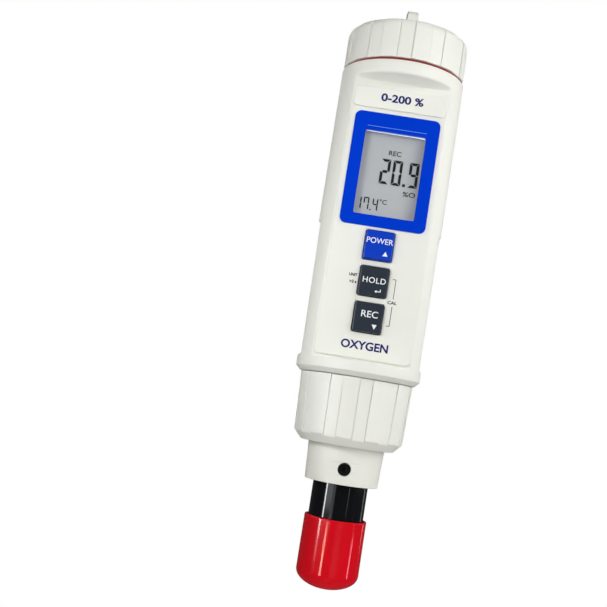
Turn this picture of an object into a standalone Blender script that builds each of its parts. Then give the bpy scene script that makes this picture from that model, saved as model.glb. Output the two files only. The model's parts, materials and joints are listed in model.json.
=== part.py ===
"""Dissolved-oxygen pen meter: housing, keys, display, batteries, collar and probe.

Run with: blender --background --python part.py

Metres. +Z runs up the pen to the battery cap, -Y is the face with the display and +X is to the
right of someone reading it. The origin is on the pen's axis, in the middle of the hand grip.
Angles around the pen are counted from the front, towards +X.
"""

import math

import bmesh
import bpy
from mathutils import Vector

MM = 0.001

# Gaps between pieces.
FACE_GAP = 0.1 * MM
FIT_GAP = 0.3 * MM

# Housing.
BODY_R = 20.0 * MM
WALL = 2.0 * MM
FRONT_FLAT = 12.8 * MM
BACK_FLAT = 18.3 * MM
SIDE_FLAT_TOP = 19.3 * MM
SIDE_FLAT_BOTTOM = 18.9 * MM
RIM_TOP_Z = 77.9 * MM
RIM_BOTTOM_Z = 73.6 * MM
FACE_TOP_Z = 72.5 * MM
GRIP_TOP_Z = 27.35 * MM
FACE_BOTTOM_Z = -16.3 * MM
FLANGE_BOTTOM_Z = -21.6 * MM
TOP_SPIGOT_R = 17.0 * MM
TOP_SPIGOT_Z = 88.0 * MM
BATTERY_BORE_R = 15.7 * MM
LOW_SPIGOT_R = 15.6 * MM
LOW_SPIGOT_Z = -34.0 * MM
LOW_BORE_R = 13.2 * MM

# Grip pads of the battery cap and the collar.
GRIP_PADS = 12
PAD_ANGLE = math.radians(16.4)
PAD_STEP_ANGLE = math.radians(1.0)
PAD_HEIGHT = 0.35 * MM
CAP_PAD_START = math.radians(2.6)
COLLAR_PAD_START = math.radians(15.2)

# Battery cap and lanyard eye.
CAP_R = 19.8 * MM
CAP_BOTTOM_Z = 78.8 * MM
CAP_TOP_Z = 92.0 * MM
CAP_EDGE_R = 3.0 * MM
CAP_ROOF_Z = 90.2 * MM
EYE_WIDTH = 3.9 * MM
EYE_DEPTH = 9.6 * MM
EYE_TOP_Z = 101.4 * MM
EYE_HOLE_R = 2.0 * MM

# Front panel, bezel, display.
PANEL_HALF_WIDTH = 15.0 * MM
PANEL_TOP_Z = 63.1 * MM
PANEL_BOTTOM_Z = -16.0 * MM
PANEL_FACE_Y = -13.35 * MM
PANEL_BACK_Y = -11.6 * MM
TONGUE_HALF_WIDTH = 13.8 * MM
TONGUE_TOP_Z = 62.0 * MM
TONGUE_BOTTOM_Z = -11.2 * MM
BEZEL_HALF_WIDTH = 13.55 * MM
BEZEL_TOP_Z = 61.9 * MM
BEZEL_BOTTOM_Z = 25.5 * MM
BEZEL_FACE_Y = -13.85 * MM
BEZEL_BACK_Y = -11.3 * MM
WINDOW_HALF_WIDTH = 9.6 * MM
WINDOW_TOP_Z = 56.1 * MM
WINDOW_BOTTOM_Z = 29.1 * MM
LENS_FACE_Y = -12.85 * MM
LENS_BACK_Y = -11.4 * MM
LCD_BACK_Y = -9.95 * MM

# Keys.
KEY_HALF_WIDTH = 4.5 * MM
KEY_HALF_HEIGHT = 4.65 * MM
KEY_FACE_Y = -14.75 * MM
KEY_FLANGE_FRONT_Y = -11.2 * MM
KEY_FLANGE_BACK_Y = -10.4 * MM
KEY_TRAVEL = 0.6 * MM
KEY_CENTRES = {"power": 19.8 * MM, "hold": 8.4 * MM, "record": -3.0 * MM}
BOSS_X = 9.5 * MM

# Circuit board.
BOARD_FRONT_Y = -8.9 * MM
BOARD_BACK_Y = -7.9 * MM
BOARD_HALF_WIDTH = 12.0 * MM
BOARD_TOP_Z = 62.0 * MM
BOARD_BOTTOM_Z = -15.0 * MM

# Batteries: four AAA cells in a square bundle behind the board.
CELL_R = 5.15 * MM
CELL_LENGTH = 44.5 * MM
CELL_BOTTOM_Z = 43.4 * MM
CELL_X = 5.25 * MM
CELL_FRONT_Y = -2.05 * MM
CELL_BACK_Y = 8.45 * MM
HOLDER_TOP_Z = 41.1 * MM
CONTACT_TOP_Z = 41.5 * MM
POST_R = 1.9 * MM

# Collar, sensor neck and probe.
COLLAR_TOP_Z = -22.0 * MM
COLLAR_BOTTOM_Z = -43.1 * MM
COLLAR_CHAMFER_Z = -40.4 * MM
COLLAR_TOP_R = 18.0 * MM
COLLAR_LOW_R = 17.4 * MM
LIP_TOP_Z = -36.8 * MM
NECK_TOP_Z = -22.6 * MM
NECK_BOTTOM_Z = -55.0 * MM
NECK_PLUG_R = 12.7 * MM
NECK_R = 12.2 * MM
NECK_END_R = 11.65 * MM
NECK_FLANGE_TOP_Z = -34.4 * MM
NECK_FLANGE_BOTTOM_Z = -36.5 * MM
NECK_BORE_R = 7.5 * MM
SCREW_Z = -50.2 * MM
SCREW_HOLE_R = 2.03 * MM
BARREL_R = 8.75 * MM
BARREL_TOP_Z = -45.7 * MM
BARREL_SHOULDER_Z = -77.0 * MM
NOSE_R = 6.9 * MM
NOSE_Z = -81.5 * MM
HEAD_R = 8.6 * MM
HEAD_TOP_Z = -78.25 * MM
HEAD_BOTTOM_Z = -84.5 * MM
RED_CAP_R = 9.9 * MM
RED_CAP_BORE_R = 9.1 * MM
RED_CAP_TOP_Z = -65.8 * MM
RED_CAP_BEND_Z = -83.0 * MM
RED_CAP_BOTTOM_Z = -88.4 * MM

ROUND_SEGMENTS = 40
SMALL_SEGMENTS = 20

# Colour (linear RGB), roughness, metallic.
FINISHES = {
    "white_plastic": ((0.80, 0.80, 0.75), 0.45, 0.0),
    "blue_gloss": ((0.002, 0.045, 0.51), 0.12, 0.0),
    "dark_key": ((0.030, 0.038, 0.052), 0.35, 0.0),
    "clear": ((0.90, 0.92, 0.92), 0.05, 0.0),
    "display_grey": ((0.44, 0.46, 0.46), 0.30, 0.0),
    "holder_plastic": ((0.05, 0.05, 0.05), 0.50, 0.0),
    "contact_rubber": ((0.30, 0.10, 0.10), 0.70, 0.0),
    "board_green": ((0.01, 0.12, 0.04), 0.45, 0.0),
    "chip_black": ((0.015, 0.015, 0.017), 0.45, 0.0),
    "bright_metal": ((0.70, 0.70, 0.70), 0.25, 1.0),
    "gold": ((0.85, 0.60, 0.22), 0.25, 1.0),
    "zinc": ((0.45, 0.46, 0.48), 0.50, 1.0),
    "battery_wrap": ((0.03, 0.10, 0.06), 0.30, 0.0),
    "seal_red": ((0.19, 0.013, 0.013), 0.45, 0.0),
    "seal_black": ((0.012, 0.012, 0.012), 0.60, 0.0),
    "barrel_black": ((0.005, 0.006, 0.007), 0.12, 0.0),
    "cap_red": ((0.56, 0.004, 0.012), 0.15, 0.0),
    "film": ((0.80, 0.80, 0.78), 0.20, 0.0),
    "ribbon": ((0.35, 0.35, 0.36), 0.50, 0.0),
}


# ---------------------------------------------------------------- scene and materials

def clear_scene():
    for obj in list(bpy.data.objects):
        bpy.data.objects.remove(obj, do_unlink=True)


def material(finish):
    """The Principled material of one finish, made on its first use."""
    found = bpy.data.materials.get(finish)
    if found:
        return found
    colour, roughness, metallic = FINISHES[finish]
    made = bpy.data.materials.new(finish)
    made.use_nodes = True
    shader = made.node_tree.nodes["Principled BSDF"]
    shader.inputs["Base Color"].default_value = (*colour, 1.0)
    shader.inputs["Roughness"].default_value = roughness
    shader.inputs["Metallic"].default_value = metallic
    made.diffuse_color = (*colour, 1.0)
    return made


def pivot(name, place):
    """An empty on a joint's axis, which carries the pieces that move on that joint."""
    empty = bpy.data.objects.new(name, None)
    empty.location = place
    empty.empty_display_size = 5 * MM
    bpy.context.scene.collection.objects.link(empty)
    return empty


def add_object(name, shape, finish, parent=None, guide=False):
    """Turn a bmesh in world coordinates into an object whose origin is its parent's, if it has one."""
    bmesh.ops.recalc_face_normals(shape, faces=shape.faces)
    if parent:
        bmesh.ops.translate(shape, verts=shape.verts, vec=-parent.location)
    mesh = bpy.data.meshes.new(name)
    shape.to_mesh(mesh)
    shape.free()
    mesh.shade_smooth()
    mesh.set_sharp_from_angle(angle=math.radians(35))
    obj = bpy.data.objects.new(name, mesh)
    obj.parent = parent
    bpy.context.scene.collection.objects.link(obj)
    if guide:
        obj.hide_render = True
        obj.display_type = "WIRE"
    else:
        mesh.materials.append(material(finish))
    return obj


def combine(target, operation, shape):
    """Cut a shape out of an object, or join it on, with a Boolean modifier."""
    tool = add_object(target.name + "_tool", shape, None, target.parent, guide=True)
    step = target.modifiers.new(operation.lower(), "BOOLEAN")
    step.operation = operation
    step.solver = "EXACT"
    step.object = tool


# ---------------------------------------------------------------- outlines and solids

def loft(rings, ring_of_rings=False):
    """Skin a row of rings with equal point counts. The ends are filled, or joined to each other."""
    shape = bmesh.new()
    loops = [[shape.verts.new(point) for point in ring] for ring in rings]
    pairs = list(zip(loops, loops[1:]))
    if ring_of_rings:
        pairs.append((loops[-1], loops[0]))
    else:
        shape.faces.new(loops[0])
        shape.faces.new(loops[-1])
    for low, high in pairs:
        for i in range(len(low)):
            j = (i + 1) % len(low)
            shape.faces.new((low[i], low[j], high[j], high[i]))
    return shape


def circle(radius, z, segments=ROUND_SEGMENTS, centre=(0.0, 0.0)):
    steps = (2 * math.pi * i / segments for i in range(segments))
    return [(centre[0] + radius * math.sin(a), centre[1] - radius * math.cos(a), z) for a in steps]


def turned(profile, segments=ROUND_SEGMENTS, centre=(0.0, 0.0), tube=False):
    """Turn a profile of (radius, z) points about an upright axis. A tube's profile is a closed loop."""
    return loft([circle(r, z, segments, centre) for r, z in profile], ring_of_rings=tube)


def torus(major, minor, z, sides=6):
    """An O-ring, as a tube with a round section."""
    steps = (2 * math.pi * i / sides for i in range(sides))
    profile = [(major + minor * math.cos(a), z + minor * math.sin(a)) for a in steps]
    return turned(profile, segments=32, tube=True)


def pin_along_y(radius, front_y, back_y, x, z, segments=SMALL_SEGMENTS):
    """A round bar that points at the reader, for screws, bosses and their holes."""
    rings = []
    for y in (front_y, back_y):
        steps = (2 * math.pi * i / segments for i in range(segments))
        rings.append([(x + radius * math.sin(a), y, z + radius * math.cos(a)) for a in steps])
    return loft(rings)


def box(x0, x1, y0, y1, z0, z1):
    return loft([[(x0, y0, z), (x1, y0, z), (x1, y1, z), (x0, y1, z)] for z in (z0, z1)])


def rounded_rectangle(half_width, low_z, high_z, y, corner, steps=3):
    """A ring in a plane that faces the reader, with rounded corners."""
    points = []
    corners = ((1, 1, 0), (-1, 1, 90), (-1, -1, 180), (1, -1, 270))
    for side, upper, start in corners:
        cx = side * (half_width - corner)
        cz = high_z - corner if upper > 0 else low_z + corner
        for i in range(steps + 1):
            a = math.radians(start + 90 * i / steps)
            points.append((cx + corner * math.cos(a), y, cz + corner * math.sin(a)))
    return points


def body_section(z, radius, front=None, side=None, back=None):
    """A ring of the housing: a circle, less a flat at the front, at each side and at the back.

    A round ring keeps its points at the nominal flats' corners, so rings of both kinds can be skinned.
    """
    front_corner = math.acos((front or FRONT_FLAT) / (radius if front else BODY_R))
    side_corner = math.acos((side or SIDE_FLAT_BOTTOM) / (radius if side else BODY_R))
    back_corner = math.acos((back or BACK_FLAT) / (radius if back else BODY_R))
    quarter = math.pi / 2
    stations = [
        (-front_corner, front_corner, 10),
        (front_corner, quarter - side_corner, 3),
        (quarter - side_corner, quarter + side_corner, 4),
        (quarter + side_corner, math.pi - back_corner, 5),
        (math.pi - back_corner, math.pi + back_corner, 4),
        (math.pi + back_corner, 3 * quarter - side_corner, 5),
        (3 * quarter - side_corner, 3 * quarter + side_corner, 4),
        (3 * quarter + side_corner, 4 * quarter - front_corner, 3),
    ]
    ring = []
    for start, end, count in stations:
        for i in range(count):
            angle = start + (end - start) * i / count
            reach = radius
            if front and math.cos(angle) > 0:
                reach = min(reach, front / math.cos(angle))
            if back and math.cos(angle) < 0:
                reach = min(reach, -back / math.cos(angle))
            if side and abs(math.sin(angle)) > 0.5:
                reach = min(reach, side / abs(math.sin(angle)))
            ring.append((reach * math.sin(angle), -reach * math.cos(angle), z))
    return ring


def grip_ring(z, radius, step, start):
    """A ring with raised pads: each pad has three points, and so has the ground between two pads."""
    ring = []
    pitch = 2 * math.pi / GRIP_PADS
    for pad in range(GRIP_PADS):
        first = start + pad * pitch
        raised = (first, first + PAD_ANGLE / 2, first + PAD_ANGLE)
        ground_start = first + PAD_ANGLE + PAD_STEP_ANGLE
        ground_end = first + pitch - PAD_STEP_ANGLE
        ground = (ground_start, (ground_start + ground_end) / 2, ground_end)
        for angle in raised:
            ring.append((radius * math.sin(angle), -radius * math.cos(angle), z))
        for angle in ground:
            low = radius - step
            ring.append((low * math.sin(angle), -low * math.cos(angle), z))
    return ring


# ---------------------------------------------------------------- housing and front

def make_housing():
    """The tube, its threaded spigots drawn as plain sleeves, and the opening for the front panel."""
    inner = BODY_R - WALL
    inner_front = FRONT_FLAT - WALL
    inner_back = BACK_FLAT - WALL
    flats = {"front": FRONT_FLAT, "back": BACK_FLAT}
    hollow = {"front": inner_front, "back": inner_back}
    rings = [
        body_section(TOP_SPIGOT_Z, TOP_SPIGOT_R),
        body_section(RIM_TOP_Z, TOP_SPIGOT_R),
        body_section(RIM_TOP_Z, BODY_R - 0.4 * MM),
        body_section(RIM_TOP_Z - 0.4 * MM, BODY_R),
        body_section(RIM_BOTTOM_Z, BODY_R),
        body_section(FACE_TOP_Z, BODY_R, **flats),
        body_section(GRIP_TOP_Z, BODY_R, **flats),
        body_section(GRIP_TOP_Z - 0.35 * MM, BODY_R, side=SIDE_FLAT_TOP, **flats),
        body_section(FACE_BOTTOM_Z, BODY_R, side=SIDE_FLAT_BOTTOM, **flats),
        body_section(FACE_BOTTOM_Z - 0.6 * MM, BODY_R),
        body_section(FLANGE_BOTTOM_Z + 1.4 * MM, BODY_R),
        body_section(FLANGE_BOTTOM_Z + 0.4 * MM, BODY_R - 0.5 * MM),
        body_section(FLANGE_BOTTOM_Z, BODY_R - 1.3 * MM),
        body_section(FLANGE_BOTTOM_Z, LOW_SPIGOT_R),
        body_section(LOW_SPIGOT_Z, LOW_SPIGOT_R),
        body_section(LOW_SPIGOT_Z, LOW_BORE_R),
        body_section(FLANGE_BOTTOM_Z + 1.9 * MM, LOW_BORE_R),
        body_section(FLANGE_BOTTOM_Z + 3.4 * MM, inner, side=SIDE_FLAT_BOTTOM - WALL, **hollow),
        body_section(FACE_TOP_Z - WALL, inner, side=SIDE_FLAT_TOP - WALL, **hollow),
        body_section(FACE_TOP_Z + 0.1 * MM, BATTERY_BORE_R, front=inner_front),
        body_section(FACE_TOP_Z + 3.5 * MM, BATTERY_BORE_R),
        body_section(TOP_SPIGOT_Z, BATTERY_BORE_R),
    ]
    housing = add_object("housing", loft(rings, ring_of_rings=True), "white_plastic")
    half_width = TONGUE_HALF_WIDTH + FIT_GAP
    opening = box(-half_width, half_width, -FRONT_FLAT - MM, -FRONT_FLAT + 4 * MM,
                  TONGUE_BOTTOM_Z - FIT_GAP, TONGUE_TOP_Z + FIT_GAP)
    combine(housing, "DIFFERENCE", opening)


def make_name_plate():
    """The small raised plate above the display."""
    rings = []
    for inset, y in ((0.0, -FRONT_FLAT - FACE_GAP), (0.0, -13.1 * MM), (0.2 * MM, -13.25 * MM)):
        half_width = 14.8 * MM - inset
        rings.append(rounded_rectangle(half_width, 63.5 * MM + inset, 70.1 * MM - inset, y, 1.4 * MM))
    add_object("name_plate", loft(rings), "white_plastic")


def make_front_panel():
    """The raised panel: a plate on the front flat, a tongue in the opening and two screw bosses."""
    plate_back = -FRONT_FLAT - FACE_GAP
    rings = [
        rounded_rectangle(PANEL_HALF_WIDTH, PANEL_BOTTOM_Z, PANEL_TOP_Z, PANEL_FACE_Y, 1.5 * MM),
        rounded_rectangle(PANEL_HALF_WIDTH, PANEL_BOTTOM_Z, PANEL_TOP_Z, plate_back, 1.5 * MM),
        rounded_rectangle(TONGUE_HALF_WIDTH, TONGUE_BOTTOM_Z, TONGUE_TOP_Z, plate_back, 1.0 * MM),
        rounded_rectangle(TONGUE_HALF_WIDTH, TONGUE_BOTTOM_Z, TONGUE_TOP_Z, PANEL_BACK_Y, 1.0 * MM),
    ]
    panel = add_object("front_panel", loft(rings), "white_plastic")
    boss_end = BOARD_FRONT_Y - 2 * FACE_GAP
    for x in (-BOSS_X, BOSS_X):
        z = KEY_CENTRES["power"]
        combine(panel, "UNION", pin_along_y(2.1 * MM, PANEL_BACK_Y - 0.3 * MM, boss_end, x, z, 16))
        combine(panel, "DIFFERENCE", pin_along_y(1.0 * MM, -11.3 * MM, boss_end + MM, x, z, 12))
    cuts = [bezel_tongue_ring(y, FIT_GAP) for y in (PANEL_FACE_Y - MM, PANEL_BACK_Y + MM)]
    combine(panel, "DIFFERENCE", loft(cuts))
    for centre in KEY_CENTRES.values():
        half_height = KEY_HALF_HEIGHT + FIT_GAP
        cuts = []
        for y in (PANEL_FACE_Y - MM, PANEL_BACK_Y + 0.5 * MM):
            cuts.append(rounded_rectangle(KEY_HALF_WIDTH + FIT_GAP, centre - half_height,
                                          centre + half_height, y, 1.2 * MM))
        combine(panel, "DIFFERENCE", loft(cuts))


def bezel_tongue_ring(y, grow=0.0):
    """The part of the bezel that goes through the panel, and the panel's hole for it."""
    low = BEZEL_BOTTOM_Z + 2 * MM - grow
    high = BEZEL_TOP_Z - 2 * MM + grow
    return rounded_rectangle(11.8 * MM + grow, low, high, y, 1.0 * MM)


def make_bezel():
    """The blue frame: a flange on the panel, a tongue behind it and a rebate for the window."""
    under_flange = PANEL_FACE_Y - FACE_GAP
    rebate_low = WINDOW_BOTTOM_Z - 1.1 * MM
    rebate_high = WINDOW_TOP_Z + 1.1 * MM
    rebate_floor = LENS_FACE_Y - FACE_GAP
    rings = [
        rounded_rectangle(WINDOW_HALF_WIDTH, WINDOW_BOTTOM_Z, WINDOW_TOP_Z, BEZEL_FACE_Y, 0.6 * MM),
        rounded_rectangle(BEZEL_HALF_WIDTH - 0.2 * MM, BEZEL_BOTTOM_Z + 0.2 * MM,
                          BEZEL_TOP_Z - 0.2 * MM, BEZEL_FACE_Y, 1.9 * MM),
        rounded_rectangle(
            BEZEL_HALF_WIDTH, BEZEL_BOTTOM_Z, BEZEL_TOP_Z, BEZEL_FACE_Y + 0.15 * MM, 2.0 * MM
        ),
        rounded_rectangle(BEZEL_HALF_WIDTH, BEZEL_BOTTOM_Z, BEZEL_TOP_Z, under_flange, 2.0 * MM),
        bezel_tongue_ring(under_flange),
        bezel_tongue_ring(BEZEL_BACK_Y),
        rounded_rectangle(10.6 * MM, rebate_low, rebate_high, BEZEL_BACK_Y, 0.6 * MM),
        rounded_rectangle(10.6 * MM, rebate_low, rebate_high, rebate_floor, 0.6 * MM),
        rounded_rectangle(WINDOW_HALF_WIDTH, WINDOW_BOTTOM_Z, WINDOW_TOP_Z, rebate_floor, 0.6 * MM),
    ]
    add_object("display_bezel", loft(rings, ring_of_rings=True), "blue_gloss")


def make_display():
    """Window, display glass, its holder and the two conductive rubber strips."""
    low = WINDOW_BOTTOM_Z - 0.8 * MM
    high = WINDOW_TOP_Z + 0.8 * MM
    window = [rounded_rectangle(10.3 * MM, low, high, y, 0.4 * MM) for y in (LENS_FACE_Y, LENS_BACK_Y)]
    add_object("display_window", loft(window), "clear")
    glass = box(-11.4 * MM, 11.4 * MM, BEZEL_BACK_Y + 2 * FACE_GAP, LCD_BACK_Y, 27.5 * MM, 58.8 * MM)
    add_object("lcd_glass", glass, "display_grey")
    front = BEZEL_BACK_Y + 2 * FACE_GAP
    back = BOARD_FRONT_Y - FACE_GAP
    rings = [
        rounded_rectangle(13.3 * MM, 25.3 * MM, 61.5 * MM, front, 0.8 * MM),
        rounded_rectangle(13.3 * MM, 25.3 * MM, 61.5 * MM, back, 0.8 * MM),
        rounded_rectangle(11.8 * MM, 27.1 * MM, 59.2 * MM, back, 0.3 * MM),
        rounded_rectangle(11.8 * MM, 27.1 * MM, 59.2 * MM, front, 0.3 * MM),
    ]
    add_object("display_holder", loft(rings, ring_of_rings=True), "holder_plastic")
    for name, z in (("lower_contact_strip", 27.7 * MM), ("upper_contact_strip", 56.8 * MM)):
        strip = box(-10.5 * MM, 10.5 * MM, LCD_BACK_Y + FACE_GAP, back, z, z + 1.8 * MM)
        add_object(name, strip, "contact_rubber")


def make_keys():
    """Each key is a cap with a flange behind the panel, over a switch on the board."""
    for name, centre in KEY_CENTRES.items():
        axis = pivot(name + "_key_axis", (0.0, KEY_FACE_Y, centre))
        rings = []
        steps = (
            (-0.3 * MM, KEY_FACE_Y, 0.9 * MM),
            (0.0, KEY_FACE_Y + 0.3 * MM, 1.0 * MM),
            (0.0, KEY_FLANGE_FRONT_Y, 1.0 * MM),
            (0.7 * MM, KEY_FLANGE_FRONT_Y, 1.0 * MM),
            (0.7 * MM, KEY_FLANGE_BACK_Y, 1.0 * MM),
        )
        for grow, y, corner in steps:
            half_height = KEY_HALF_HEIGHT + grow
            rings.append(rounded_rectangle(KEY_HALF_WIDTH + grow, centre - half_height,
                                           centre + half_height, y, corner))
        finish = "blue_gloss" if name == "power" else "dark_key"
        add_object(name + "_key", loft(rings), finish, axis)
        switch_front = KEY_FLANGE_BACK_Y + KEY_TRAVEL + FACE_GAP
        switch = box(-2.5 * MM, 2.5 * MM, switch_front, BOARD_FRONT_Y - FACE_GAP,
                     centre - 2.5 * MM, centre + 2.5 * MM)
        add_object(name + "_switch", switch, "bright_metal")


def make_board():
    """The main circuit board, its chips, and the two screws that hold it to the panel's bosses."""
    board = add_object("main_board", box(-BOARD_HALF_WIDTH, BOARD_HALF_WIDTH, BOARD_FRONT_Y,
                                         BOARD_BACK_Y, BOARD_BOTTOM_Z, BOARD_TOP_Z), "board_green")
    z = KEY_CENTRES["power"]
    for side, x in (("left", -BOSS_X), ("right", BOSS_X)):
        hole = pin_along_y(1.1 * MM, BOARD_FRONT_Y - MM, BOARD_BACK_Y + MM, x, z, 12)
        combine(board, "DIFFERENCE", hole)
        screw = add_object("board_screw_" + side, pin_along_y(0.75 * MM, -10.9 * MM, -7.5 * MM, x, z, 12),
                           "bright_metal")
        combine(screw, "UNION", pin_along_y(1.8 * MM, -7.8 * MM, -6.8 * MM, x, z, 12))
    back = BOARD_BACK_Y + FACE_GAP
    chips = {
        "controller_chip": (-5.0, 5.0, 1.4, 22.0, 32.0),
        "amplifier_chip": (-2.5, 2.5, 1.2, 4.0, 8.0),
        "timing_crystal": (5.0, 7.5, 2.4, 8.0, 15.0),
    }
    for name, (x0, x1, height, z0, z1) in chips.items():
        chip = box(x0 * MM, x1 * MM, back, back + height * MM, z0 * MM, z1 * MM)
        add_object(name, chip, "bright_metal" if name == "timing_crystal" else "chip_black")


# ---------------------------------------------------------------- batteries

def make_battery_holder():
    """The floor under the cells, with a post that stands in the middle of the bundle."""
    rings = []
    for z in (HOLDER_TOP_Z - 1.5 * MM, HOLDER_TOP_Z):
        ring = circle(15.2 * MM, z, 32)
        rings.append([(x, max(y, -7.3 * MM), z) for x, y, z in ring])
    holder = add_object("battery_holder", loft(rings), "holder_plastic")
    post = turned([(POST_R, HOLDER_TOP_Z - 0.5 * MM), (POST_R, 86.5 * MM)], 12,
                        (0.0, (CELL_FRONT_Y + CELL_BACK_Y) / 2))
    combine(holder, "UNION", post)


def make_cells():
    """Four AAA cells, neighbours with opposite ends up, so that they are in series."""
    top = CELL_BOTTOM_Z + CELL_LENGTH
    corners = (
        (-1, CELL_FRONT_Y, False), (1, CELL_FRONT_Y, True),
        (1, CELL_BACK_Y, False), (-1, CELL_BACK_Y, True),
    )
    for number, (side, y, nub_up) in enumerate(corners, 1):
        profile = [
            (1.9 * MM, 0.0), (1.9 * MM, 0.9 * MM), (CELL_R - 0.3 * MM, 1.0 * MM),
            (CELL_R, 1.4 * MM), (CELL_R, CELL_LENGTH - 0.3 * MM), (CELL_R - 0.3 * MM, CELL_LENGTH),
        ]
        outline = [(r, top - h if nub_up else CELL_BOTTOM_Z + h) for r, h in profile]
        cell = turned(outline, SMALL_SEGMENTS, (side * CELL_X, y))
        add_object("battery_cell_%d" % number, cell, "battery_wrap")


def make_lower_contacts():
    """Two terminals and a bridge on the holder, and a spring under each cell that stands on its can."""
    floor = HOLDER_TOP_Z + FACE_GAP
    strips = {
        "battery_terminal_positive": (-8.2, -2.4, -4.6, 0.6, (-CELL_X, CELL_FRONT_Y)),
        "battery_terminal_negative": (-8.2, -2.4, 5.9, 11.0, None),
        "battery_bridge_lower": (2.4, 8.2, -4.6, 11.0, (CELL_X, CELL_BACK_Y)),
    }
    for name, (x0, x1, y0, y1, stud) in strips.items():
        shape = box(x0 * MM, x1 * MM, y0 * MM, y1 * MM, floor, CONTACT_TOP_Z)
        strip = add_object(name, shape, "bright_metal")
        if stud:
            profile = [(1.5 * MM, floor + 0.1 * MM), (1.5 * MM, CELL_BOTTOM_Z - 0.2 * MM)]
            combine(strip, "UNION", turned(profile, 12, stud))
    springs = {
        "contact_spring_front": (CELL_X, CELL_FRONT_Y),
        "contact_spring_back": (-CELL_X, CELL_BACK_Y),
    }
    for name, centre in springs.items():
        coil = coil_spring(centre, 2.6 * MM, CONTACT_TOP_Z + 0.35 * MM, 1.1 * MM, 2)
        add_object(name, coil, "bright_metal")


def coil_spring(centre, radius, low_z, rise, turns, wire=0.22 * MM, sides=5, per_turn=12):
    """A round wire wound up a helix."""
    rings = []
    for i in range(turns * per_turn + 1):
        turn = i / per_turn
        around = 2 * math.pi * turn
        outward = Vector((math.cos(around), math.sin(around), 0.0))
        middle = Vector((*centre, low_z + rise * turn / turns)) + radius * outward
        ring = []
        for k in range(sides):
            a = 2 * math.pi * k / sides
            ring.append(middle + wire * (math.cos(a) * outward + math.sin(a) * Vector((0, 0, 1))))
        rings.append(ring)
    return loft(rings)


# ---------------------------------------------------------------- battery cap

def make_cap_seal():
    add_object("cap_seal", torus(18.9 * MM, 0.33 * MM, (RIM_TOP_Z + CAP_BOTTOM_Z) / 2), "seal_red")


def make_contact_plate():
    """The plate that stays in line with the cells while the cap turns on its screw."""
    axis = pivot("contact_plate_axis", (0.0, 0.0, CAP_BOTTOM_Z))
    low = 88.9 * MM
    high = 89.9 * MM
    profile = [(1.25 * MM, low), (14.9 * MM, low), (14.9 * MM, high), (1.25 * MM, high)]
    add_object("contact_plate", turned(profile, 36, tube=True), "holder_plastic", axis)
    for name, y0, y1 in (("battery_bridge_front", -4.7, -2.2), ("battery_bridge_back", 7.0, 10.0)):
        strip = box(-7.5 * MM, 7.5 * MM, y0 * MM, y1 * MM, 88.3 * MM, low - FACE_GAP)
        add_object(name, strip, "bright_metal", axis)


def make_battery_cap():
    """The cap: grip pads, rounded top edge, plain bore for the thread, and the lanyard eye."""
    axis = pivot("battery_cap_axis", (0.0, 0.0, CAP_BOTTOM_Z))
    bore = TOP_SPIGOT_R + 0.35 * MM
    rings = []
    for angle in (90, 60, 30, 0):
        a = math.radians(angle)
        radius = CAP_R - CAP_EDGE_R + CAP_EDGE_R * math.cos(a)
        step = PAD_HEIGHT * math.cos(a)
        z = CAP_TOP_Z - CAP_EDGE_R + CAP_EDGE_R * math.sin(a)
        rings.append(grip_ring(z, radius, step, CAP_PAD_START))
    rings.append(grip_ring(CAP_BOTTOM_Z + 0.3 * MM, CAP_R, PAD_HEIGHT, CAP_PAD_START))
    rings.append(grip_ring(CAP_BOTTOM_Z, CAP_R - 0.3 * MM, PAD_HEIGHT, CAP_PAD_START))
    rings.append(grip_ring(CAP_BOTTOM_Z, bore, 0.0, CAP_PAD_START))
    rings.append(grip_ring(CAP_ROOF_Z, bore, 0.0, CAP_PAD_START))
    rings.append(grip_ring(CAP_ROOF_Z, 1.25 * MM, 0.0, CAP_PAD_START))
    rings.append(grip_ring(CAP_ROOF_Z + 1.1 * MM, 1.25 * MM, 0.0, CAP_PAD_START))
    cap = add_object("battery_cap", loft(rings), "white_plastic", axis)
    combine(cap, "UNION", eye_tab())
    eye_z = EYE_TOP_Z - EYE_DEPTH / 2
    combine(cap, "DIFFERENCE", bar_along_x(EYE_HOLE_R, EYE_WIDTH, 0.0, eye_z))
    head = [(1.9 * MM, 88.1 * MM), (1.9 * MM, 88.8 * MM), (0.85 * MM, 88.8 * MM), (0.85 * MM, 91.1 * MM)]
    add_object("contact_plate_screw", turned(head, 12), "bright_metal", axis)


def eye_tab():
    """A flat lug on the cap with a round top, seen from its edge by the reader."""
    half = EYE_DEPTH / 2
    centre_z = EYE_TOP_Z - half
    outline = [(-half, CAP_TOP_Z - 0.8 * MM), (half, CAP_TOP_Z - 0.8 * MM)]
    for i in range(13):
        a = math.pi * i / 12
        outline.append((half * math.cos(a), centre_z + half * math.sin(a)))
    return loft([[(x, y, z) for y, z in outline] for x in (-EYE_WIDTH / 2, EYE_WIDTH / 2)])


def bar_along_x(radius, half_length, y, z, segments=SMALL_SEGMENTS):
    rings = []
    for x in (-half_length, half_length):
        steps = (2 * math.pi * i / segments for i in range(segments))
        rings.append([(x, y + radius * math.cos(a), z + radius * math.sin(a)) for a in steps])
    return loft(rings)


# ---------------------------------------------------------------- collar and sensor module

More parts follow.
